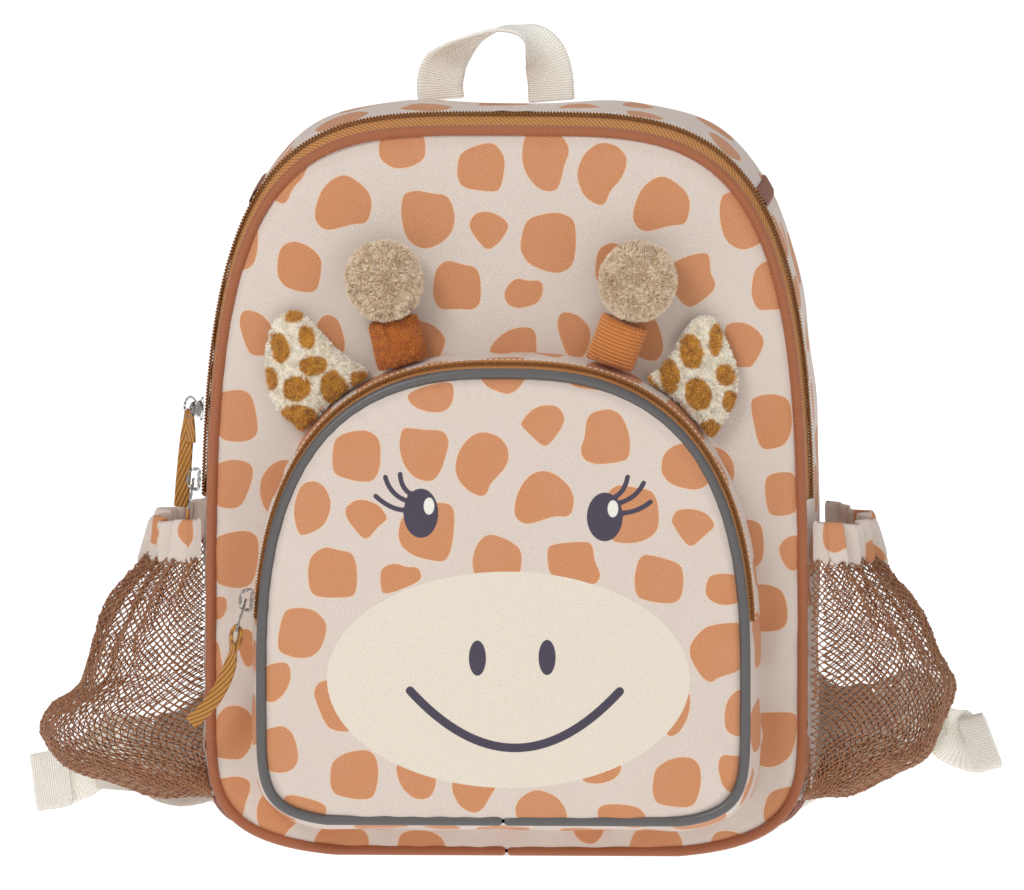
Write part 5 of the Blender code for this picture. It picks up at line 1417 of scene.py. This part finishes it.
# The ears: cream short-pile plush printed with ochre spots, lightly padded and sewn into the seam.
# Spots on them: the corners of each, across and up, in mm
EAR_SPOTS = {
    "left": (
        ((-96, 234.5), (-93, 238.5), (-88, 238), (-87, 234.5), (-92, 233)),
        ((-89, 232), (-84.5, 232), (-81.5, 226), (-84, 221), (-89.5, 224.5)),
        ((-101.5, 228.5), (-96, 229.5), (-92, 221), (-95.5, 215.5), (-100, 217)),
        ((-89, 217.5), (-84, 219.5), (-76.5, 218), (-77, 212.5), (-83, 210), (-88.5, 212)),
        ((-103.5, 214), (-99, 214), (-97.5, 207), (-100.5, 203), (-103, 206)),
        ((-96, 208.5), (-91, 211), (-84, 209), (-83.5, 203), (-89, 199), (-95.5, 200.5)),
        ((-80, 210), (-74.5, 214), (-68, 208), (-68, 201), (-74, 197), (-79.5, 201)),
        ((-67.5, 212), (-62, 213), (-57, 208), (-60, 203), (-66.5, 205)),
        ((-97, 196), (-91, 198.5), (-82, 196.5), (-82, 190), (-88, 186), (-95.5, 188)),
    ),
    "right": (
        ((76.5, 228.5), (82, 229.5), (86, 222.5), (84, 214.5), (78, 214), (75, 220)),
        ((88.5, 233), (92.5, 234), (93.5, 224), (91, 218.5), (87.5, 222)),
        ((66.5, 216.5), (72, 219), (76, 212), (74, 204), (69, 203.5), (67, 209)),
        ((91, 215.5), (96, 216.5), (99.5, 211), (97, 206.5), (91, 207.5)),
        ((78, 209.5), (84, 211), (89.5, 205), (88, 197), (81.5, 196), (77, 201.5)),
        ((93.5, 204.5), (98.5, 205), (99.5, 199), (97, 194.5), (93.5, 197)),
        ((57.5, 210), (62, 211.5), (68, 206), (66, 201.5), (59.5, 203.5)),
        ((71.5, 199.5), (76.5, 199.5), (81.5, 193), (79, 189.5), (73, 192.5)),
        ((83.5, 191.5), (89, 193), (94, 189), (92, 182.5), (85.5, 182)),
    ),
}


def ear_pile(tree):
    cream = fibre_with_painted_shade(tree, "#EFE2C8", "#FFFBF0", "#FFFFFF")
    ochre = fibre_with_painted_shade(tree, "#B67A1C", "#DE9F38", "#EDBB63")
    return blend(tree, inside(tree, "spot", 0.0, 0.5), cream, ochre)


# Cream cropped plush with dyed spots: soft, matt, tufts lie in small tangles, with painted shade at their
# roots and painted light at their tips
SPOTTED_PLUSH = new_plush("cream spotted plush", ear_pile)
for side, spots in EAR_SPOTS.items():
    ear = smooth_copy(f"ear_{side}", f"plush_ear_{side}", 3, SPOTTED_PLUSH)
    ear = pile(
        ear.name,
        ear,
        15000,
        1.5 * MM,
        0.40 * MM,
        SPOTTED_PLUSH,
        0.5,
        500,
        0.35,
        tint=lambda points, spots=spots: spot_distance(points[:, 0] / MM, points[:, 2] / MM, spots),
    )
    sewn_on(ear, "ear_plush", f"ear_{side}")

# The side pockets: pouches of knotted brown net, slack and full of folds, sewn to the gusset at
# their front, rear and foot. The belly of each hangs out in a lobe.
NET_FRONT, NET_BACK = SEAM_FRONT + 0.0010, BACK - 0.0040
NET_LOW, NET_TOP = 0.026, 0.1295
NET_BULGE = {"left": 0.0700, "right": 0.0560}
NET_COLUMNS, NET_ROWS = 104, 66  # half diamonds of the net, round it and up it
NET_PLEATS, PLEAT_DEPTH = 11, 0.0044  # under the gathered mouth
TWINE = 0.62 * MM
KNOT = 0.45 * MM
HEM_HEIGHT = 0.018
HEM_DROOP = 0.0035  # how far its middle hangs
HEM_FOLDS = 9
BINDING_LOW, BINDING_HEIGHT = 0.0148, 0.0104

# Share of the way up, stand-out and height, both as shares of the largest, at mid depth
NET_PROFILE = {
    "left": (
        (0.00, 0.00, 0.00),
        (0.08, 0.33, -0.03),
        (0.16, 0.62, 0.04),
        (0.24, 0.88, 0.10),
        (0.32, 1.00, 0.21),
        (0.40, 0.92, 0.32),
        (0.47, 0.76, 0.40),
        (0.60, 0.69, 0.56),
        (0.80, 0.52, 0.80),
        (1.00, 0.27, 1.00),
    ),
    "right": (
        (0.00, 0.00, 0.00),
        (0.08, 0.30, -0.01),
        (0.16, 0.58, 0.08),
        (0.24, 0.86, 0.17),
        (0.32, 0.95, 0.29),
        (0.42, 1.00, 0.42),
        (0.54, 0.91, 0.57),
        (0.70, 0.76, 0.73),
        (0.86, 0.55, 0.88),
        (1.00, 0.36, 1.00),
    ),
}


# Spots on the hems: the corners of each, round from the front and up, in mm
HEM_SPOTS = {
    "left": (
        ((2, 8), (4, 20), (14, 20), (17, 12), (10, 5)),
        ((44, 12), (48, 20), (66, 20), (70, 12), (62, 6), (50, 7)),
        ((92, -2), (94, 8), (106, 11), (114, 5), (112, -2)),
    ),
    "right": (
        ((3, 8), (5, 20), (22, 20), (26, 12), (20, 6), (10, 5)),
        ((52, -2), (54, 8), (64, 10), (72, 4), (70, -2)),
        ((96, 10), (98, 20), (116, 20), (118, 12), (108, 7)),
    ),
}


def side_x(z, y):
    """How far out the gusset's side lies at a height and depth."""
    x = stations(BODY, height_share(BODY, z))[0]
    depth = (y - SEAM_FRONT) / (BACK - SEAM_FRONT)
    rise = np.interp(depth, GUSSET_PROFILE[:, 0], GUSSET_PROFILE[:, 1])
    return x + (FLARE_SIDE + SEAM_SINK) * rise - SEAM_SINK


def net_points(side, around, up):
    """Points of the slack net on the +X side: around from front to back, up from foot to mouth."""
    turn = math.pi * around
    y = (NET_FRONT + NET_BACK) / 2 - (NET_BACK - NET_FRONT) / 2 * np.cos(turn)
    rows = eased([(*row, 0.0) for row in NET_PROFILE[side]], 60)
    standing, high = (np.interp(up, rows[:, 0], rows[:, c]) for c in (1, 2))
    loose = np.sin(turn)
    seam_z = NET_LOW + (NET_TOP - NET_LOW) * up
    middle_z = NET_LOW + (NET_TOP - NET_LOW) * high
    z = seam_z + (middle_z - seam_z) * loose
    out = NET_BULGE[side] * np.maximum(0, standing) * loose**0.8
    pleats = np.sin(around * 2 * math.pi * NET_PLEATS + 2.5 * np.sin(up * 6)) * PLEAT_DEPTH
    pleats = pleats * np.clip(up - 0.25, 0, 1) ** 1.3
    slack = np.sin(around * 17 + up * 8 + 1) * np.sin(up * 13 - around * 6) * 0.0018
    out = out + (pleats + slack) * loose
    y = y + np.sin(up * 11 + around * 9) * 0.0014 * loose
    z = z + np.sin(around * 23 + up * 5) * 0.0012 * loose
    return np.stack([side_x(z, y) + 0.0022 + out, y, z], axis=-1)


def twine_colour(tree):
    return blend(tree, mottle(tree, 1.2, 0.0, 1.0, 1.0), "#7C4A27", "#AB7144")


# Twisted polyester twine: brown, with lighter mottle painted along it as glints of light
BROWN_TWINE = new_material("brown knotted twine", twine_colour, 0.50, Sheen_Weight=0.2)
mirror = {"left": -1.0, "right": 1.0}
for side in ("left", "right"):
    columns, rows = NET_COLUMNS, NET_ROWS
    i, k = np.meshgrid(np.arange(columns + 1), np.arange(rows + 1), indexing="ij")
    grid = net_points(side, i / columns, k / rows)
    grid = grid * [mirror[side], 1.0, 1.0]
    knot = (i + k) % 2 == 0
    grid = grid + generator.normal(0, 0.00020, grid.shape) * np.clip(k / 4, 0, 1)[..., None]
    starts, ends = [], []
    for step in (1, -1):
        keep = knot & (i < columns) & (k + step >= 0) & (k + step <= rows)
        starts.append(grid[keep])
        ends.append(grid[i[keep] + 1, k[keep] + step])
    starts, ends = np.concatenate(starts), np.concatenate(ends)
    ties = grid[knot]
    parts = [tube_net(starts, ends, TWINE / 2), tube_net(ties - [0, 0, KNOT], ties + [0, 0, KNOT], 0.42 * MM)]
    net = joined(f"side_net_{side}", parts, BROWN_TWINE)
    sewn_on(net, "net_twine", f"net_{side}")

    # Its mouth: printed cloth folded over elastic and gathered, with a frilled edge
    around, rises = np.linspace(0, 1, 220), np.linspace(0, 1, 12)
    turn, loose = around * 2 * math.pi, np.sin(math.pi * around)
    low_x, low_y, low_z = net_points(side, around, np.ones(len(around))).T
    rows = []
    for face, order in ((1, rises), (-1, rises[::-1])):
        for rise in order:
            frill = (0.0012 + 0.0016 * (1 - rise)) * np.sin(turn * HEM_FOLDS + rise * 1.6)
            frill = (frill + 0.0006 * np.sin(turn * 23 + rise * 2)) * loose
            lean = 0.10 * rise * (low_x - side_x(low_z, low_y))
            x = low_x + 0.0014 + frill - lean + face * (0.0008 - 0.0006 * (rise in (0.0, 1.0)))
            scallop = 0.0012 * np.sin(turn * 2 * HEM_FOLDS) * (1 - rise) ** 2
            z = low_z - 0.0006 + HEM_HEIGHT * rise + scallop - HEM_DROOP * loose
            x = np.maximum(x, side_x(z, low_y) + 0.0006)
            rows.append(np.stack([x * mirror[side], low_y, z], axis=1))
    grid = np.stack(rows, axis=1)
    high = np.concatenate([rises, rises[::-1]]) * HEM_HEIGHT / MM
    cloth = np.stack([np.repeat(around * 150, len(high)), np.tile(high, len(around))], axis=1)
    hem_band = strip(
        f"mouth_hem_{side}",
        grid,
        PRINTED_TWILL,
        cloth,
        around=True,
        spot=spot_distance(cloth[:, 0], cloth[:, 1], HEM_SPOTS[side]),
    )
    sewn_on(hem_band, "printed_fabric", f"net_hem_{side}")

    # Brown tape that binds the foot of the net to the gusset
    zs = np.linspace(BINDING_LOW, BINDING_LOW + BINDING_HEIGHT, 10)
    ys = np.linspace(NET_FRONT, NET_BACK, 60)
    y, z = np.meshgrid(ys, zs, indexing="ij")
    bulge = abs(np.sin(math.pi * (z - BINDING_LOW) / BINDING_HEIGHT)) ** 0.5
    pad = 0.0014 * bulge + 0.0003 * np.sin(y * 900)
    x = side_x(z, y) + pad
    cloth = np.stack([y.ravel() / MM, z.ravel() / MM], axis=1)
    binding = strip(
        f"foot_binding_{side}",
        np.stack([x * mirror[side], y, z], axis=2)[:: int(mirror[side])],
        BROWN_TAPE,
        cloth[:: int(mirror[side])],
    )
    sewn_on(binding, "seam_tape", f"net_binding_{side}")

# The grab handle: cream cotton webbing that leaves the rear seam and turns over at its crest.
HANDLE_WIDTH = 0.020
HANDLE_SPAN, HANDLE_RISE = 0.047, 0.033
HANDLE_OFFSET = -0.0090
HANDLE_SET, HANDLE_SLANT = 0.0040, 0.0060

# Across and up as shares of the span and rise, and the turn of its width in degrees
HANDLE_ROUTE = (
    (-0.50, 0.00, 0),
    (-0.51, 0.22, 4),
    (-0.47, 0.44, 14),
    (-0.34, 0.66, 36),
    (-0.14, 0.86, 62),
    (0.10, 0.97, 76),
    (0.30, 0.90, 60),
    (0.44, 0.66, 34),
    (0.50, 0.36, 12),
    (0.52, 0.00, 4),
)


def top_seat(x, y):
    """Height of the gusset's top at a place."""
    half = len(BODY.share) // 2
    crest = slice(half + OUTLINE_POINTS // 4, half - OUTLINE_POINTS // 4, -1)
    share = np.interp(x, BODY.x[crest], BODY.share[crest])
    depth = (y - SEAM_FRONT) / (BACK - SEAM_FRONT)
    return float(gusset_points(np.array([share]), np.array([depth]))[0, 0, 2])


# Cream cotton webbing: soft, fine ribs across it, a slight sheen
WEB_RIBS = (1.0, 0.0, 1.0)
CREAM_WEBBING = new_material(
    "cream cotton webbing",
    ribbed_colour(WEB_RIBS, "#F1EBDD", "#FFFDF6", 6.0, 0.25, "#F1E8D6"),
    0.75,
    woven_relief(WEB_RIBS, (0.0, 1.0, 1.2), 0.5),
    0.18,
    Sheen_Weight=0.25,
)
WEB_WALL = 0.0015
route = []
for across, up, turned in HANDLE_ROUTE:
    turned = math.radians(turned)
    x = HANDLE_OFFSET + across * HANDLE_SPAN
    z = top_seat(x, BACK - HANDLE_SET) + 4 * GAP + up * HANDLE_RISE
    y = BACK - HANDLE_SET - HANDLE_SLANT * math.sin(turned)
    route.append((x, y, z, math.cos(turned), math.sin(turned), 0.0, HANDLE_WIDTH))
handle = webbing_band("handle_webbing", route, WEB_WALL, CREAM_WEBBING)
sewn_on(handle, "cream_webbing", "handle")

# Two padded straps down the back: printed cloth outside, taupe mesh inside, foam between.
STRAP_WIDTH = 0.042
STRAP_WALL = 0.007
STRAP_LIFT = 0.015
STRAP_STEPS, STRAP_SIDES = 120, 32

# Across as a share of half the body, up of the body's top, and lift off the back
STRAP_ROUTE = (
    (0.290, 0.900, 0.000),
    (0.310, 0.820, 0.400),
    (0.350, 0.720, 0.733),
    (0.405, 0.610, 0.933),
    (0.480, 0.495, 1.000),
    (0.580, 0.385, 0.933),
    (0.710, 0.285, 0.800),
    (0.850, 0.195, 0.667),
    (0.980, 0.128, 0.600),
    (1.110, 0.100, 0.600),
    (1.230, 0.104, 0.600),
)
END_RISE = {"left": 0.0, "right": 0.045}  # how fast the strap's end climbs past the body's side


def off_back(side, rows, width, wall, lift):
    """Points of a band down the back, from shares across, up and of its lift."""
    points = []
    for across, up, share in rows:
        x = across * BODY_WIDTH / 2
        z = up * BODY_TOP + END_RISE[side] * max(0.0, across - 0.85)
        under = x + width / 2 * np.array([-1, 0, 1])
        seat = BACK + swell(under, z, BODY_WIDTH, BASE_RISE, BODY_TOP, BACK_DOME).max()
        points.append((mirror[side] * x, seat + GAP + wall / 2 + share * lift, z))
    return np.array(points)


def strap_colour(tree):
    taupe = blend(tree, mottle(tree, 3.0, 0.0, 0.5), "#C6B9AC", "#AA9C90")
    return blend(tree, inside(tree, "inner", 0.5, 0.02), taupe, printed_colour(tree))


# Printed twill outside and taupe lining inside, meeting at the seam along each edge
STRAP_CLOTH = new_material(
    "printed and taupe strap cloth", strap_colour, 0.70, crossings, 0.10, Sheen_Weight=0.15
)
strap_ends = {}
for side in ("left", "right"):
    route = off_back(side, STRAP_ROUTE, STRAP_WIDTH, STRAP_WALL, STRAP_LIFT)
    strap_ends[side] = route[-2:]
    line = eased(route, STRAP_STEPS)
    ahead = unit(np.gradient(line, axis=0) * [1, 0, 1])
    across = np.cross(ahead, TO_REAR) * mirror[side]
    turn = np.linspace(0, 2 * math.pi, STRAP_SIDES + 1)[:-1]
    flat = np.sign(np.cos(turn)) * abs(np.cos(turn)) ** 0.55
    thick = np.sign(np.sin(turn)) * abs(np.sin(turn)) ** 0.8
    step = np.arange(STRAP_STEPS)
    ends = np.clip(np.minimum(step, step[::-1]) / 5, 0, 1)
    width = STRAP_WIDTH / 2 * (0.8 + 0.2 * np.sqrt(ends))
    wall = STRAP_WALL / 2 * (0.02 + 0.98 * np.sqrt(ends))
    folds = 0.0003 * np.sin(step * 0.7)
    grid = (
        line[:, None, :]
        + across[:, None, :] * (width[:, None] * flat[None, :])[..., None]
        + TO_REAR * ((wall + folds)[:, None] * thick[None, :])[..., None]
    )
    along = np.linspace(0, 380, STRAP_STEPS)
    half_width = STRAP_WIDTH / 2 / MM
    cloth = np.stack([np.tile(flat * half_width, STRAP_STEPS), np.repeat(along, STRAP_SIDES)], axis=1)
    inner = np.tile((thick < 0.02).astype(float), STRAP_STEPS)
    strap = strip(
        f"shoulder_strap_{side}",
        grid if side == "right" else grid[::-1],
        STRAP_CLOTH,
        cloth if side == "right" else cloth.reshape(STRAP_STEPS, STRAP_SIDES, 2)[::-1].reshape(-1, 2),
        around=True,
        spot=repeat_distance(cloth[:, 0] + 30.0, cloth[:, 1] + 17.0),
        inner=inner,
    )
    sewn_on(strap, "printed_fabric", f"strap_{side}")

# The ladder locks: moulded nylon, hidden behind the net pockets.
# Injection-moulded nylon: off-white, satin
MOULDED_NYLON = new_material("moulded nylon", "#DCD6CA", 0.38)
for side in ("left", "right"):
    moulded(f"ladder_lock_{side}", MOULDED_NYLON, 0.6 * MM, 3)

# The lower webbings: cream, from the bottom corners through the locks to a folded, sewn end
WEB_WIDTH = 0.025
WEB_LIFT = 0.025
LOCK_WALL, LOCK_BAR, LOCK_SLOT = 0.003, 0.0036, 0.0054

# From the corner to the lock, as for the strap
WEB_START = (
    (0.700, 0.051, 0.00),
    (0.755, 0.050, 0.06),
    (0.810, 0.050, 0.88),
    (0.920, 0.060, 1.00),
    (1.060, 0.082, 1.00),
    (1.230, 0.102, 0.90),
)
# Past the lock: out, up and to the rear, as shares of the webbing's width
WEB_TAIL = {
    "left": ((0.45, -0.22, 0.08), (0.78, -0.42, 0.00), (0.80, -0.43, -0.02), (1.38, -0.52, -0.24)),
    "right": ((0.50, -0.42, 0.13), (0.84, -0.70, 0.04), (0.86, -0.70, 0.02), (1.28, -0.56, -0.32)),
}
for side in ("left", "right"):
    behind, end = strap_ends[side]
    along = unit(end - behind)
    upright = unit(np.cross(along, TO_REAR[0]))
    over = np.array([0.0, LOCK_WALL / 2 + WEB_WALL / 2 + 3 * GAP, 0.0])
    lock = end + along * GAP
    first = lock + along * (LOCK_BAR + LOCK_SLOT / 2)
    bar = lock + along * (LOCK_BAR * 1.5 + LOCK_SLOT)
    second = lock + along * (LOCK_BAR * 2 + LOCK_SLOT * 1.5)
    points = [
        *off_back(side, WEB_START, WEB_WIDTH, WEB_WALL, WEB_LIFT),
        first + over * 2.2 - along * LOCK_SLOT * 0.4,
        first,
        bar - over - along * LOCK_BAR / 2,
        bar - over + along * LOCK_BAR / 2,
        second,
        second + over * 1.6 + along * LOCK_SLOT * 0.6,
    ]
    for out, up, deep in WEB_TAIL[side]:
        points.append(second + np.array([mirror[side] * out, deep, up]) * WEB_WIDTH)
    route = [(*point, *upright, WEB_WIDTH) for point in points]
    webbing = webbing_band(f"lower_webbing_{side}", route, WEB_WALL, CREAM_WEBBING)
    sewn_on(webbing, "cream_webbing", f"webbing_{side}")
    # The end is folded over and sewn down, so it is twice as thick
    fold = []
    for share in (-0.02, 0.3, 0.7, 1.02):
        point = points[-2] + (points[-1] - points[-2]) * share - [0.0, 0.001, 0.0]
        fold.append((*point, *upright, WEB_WIDTH + 0.0004))
    folded = webbing_band(f"folded_end_{side}", fold, WEB_WALL, CREAM_WEBBING)
    sewn_on(folded, "cream_webbing")

# White paper far out on all sides, so that it shows behind the bag too, and large soft lights.
BACKLIT_PAPER = new_material(
    "backlit white paper", "#7A7A7A", 0.9, Emission_Color=linear("#FFFFFF"), Emission_Strength=1.0
)
corners = ((-14, -14, 0), (14, -14, 0), (14, 14, 0), (-14, 14, 0))
floor = new_mesh("paper_floor", corners, [(0, 1, 2, 3)], BACKLIT_PAPER)
for name, place, size, power in (
    ("key_light", (-1.1, -1.9, 1.7), 1.0, 26.0),
    ("fill_light", (1.6, -1.7, 0.9), 1.6, 7.0),
    ("top_light", (0.1, 0.2, 2.2), 1.6, 9.0),
):
    lamp_data = bpy.data.lights.new(name, "AREA")
    lamp_data.size = size
    lamp_data.energy = power
    lamp = bpy.data.objects.new(name, lamp_data)
    lamp.location = place
    lamp.rotation_euler = (Vector((0, 0, 0.16)) - Vector(place)).to_track_quat("-Z", "Y").to_euler()
    bpy.context.scene.collection.objects.link(lamp)
world = bpy.data.worlds.new("studio")
world.use_nodes = True
world.node_tree.nodes["Background"].inputs["Color"].default_value = linear("#FFFFFF")
world.node_tree.nodes["Background"].inputs["Strength"].default_value = 0.38
bpy.context.scene.world = world
bpy.context.scene.view_settings.view_transform = "Standard"
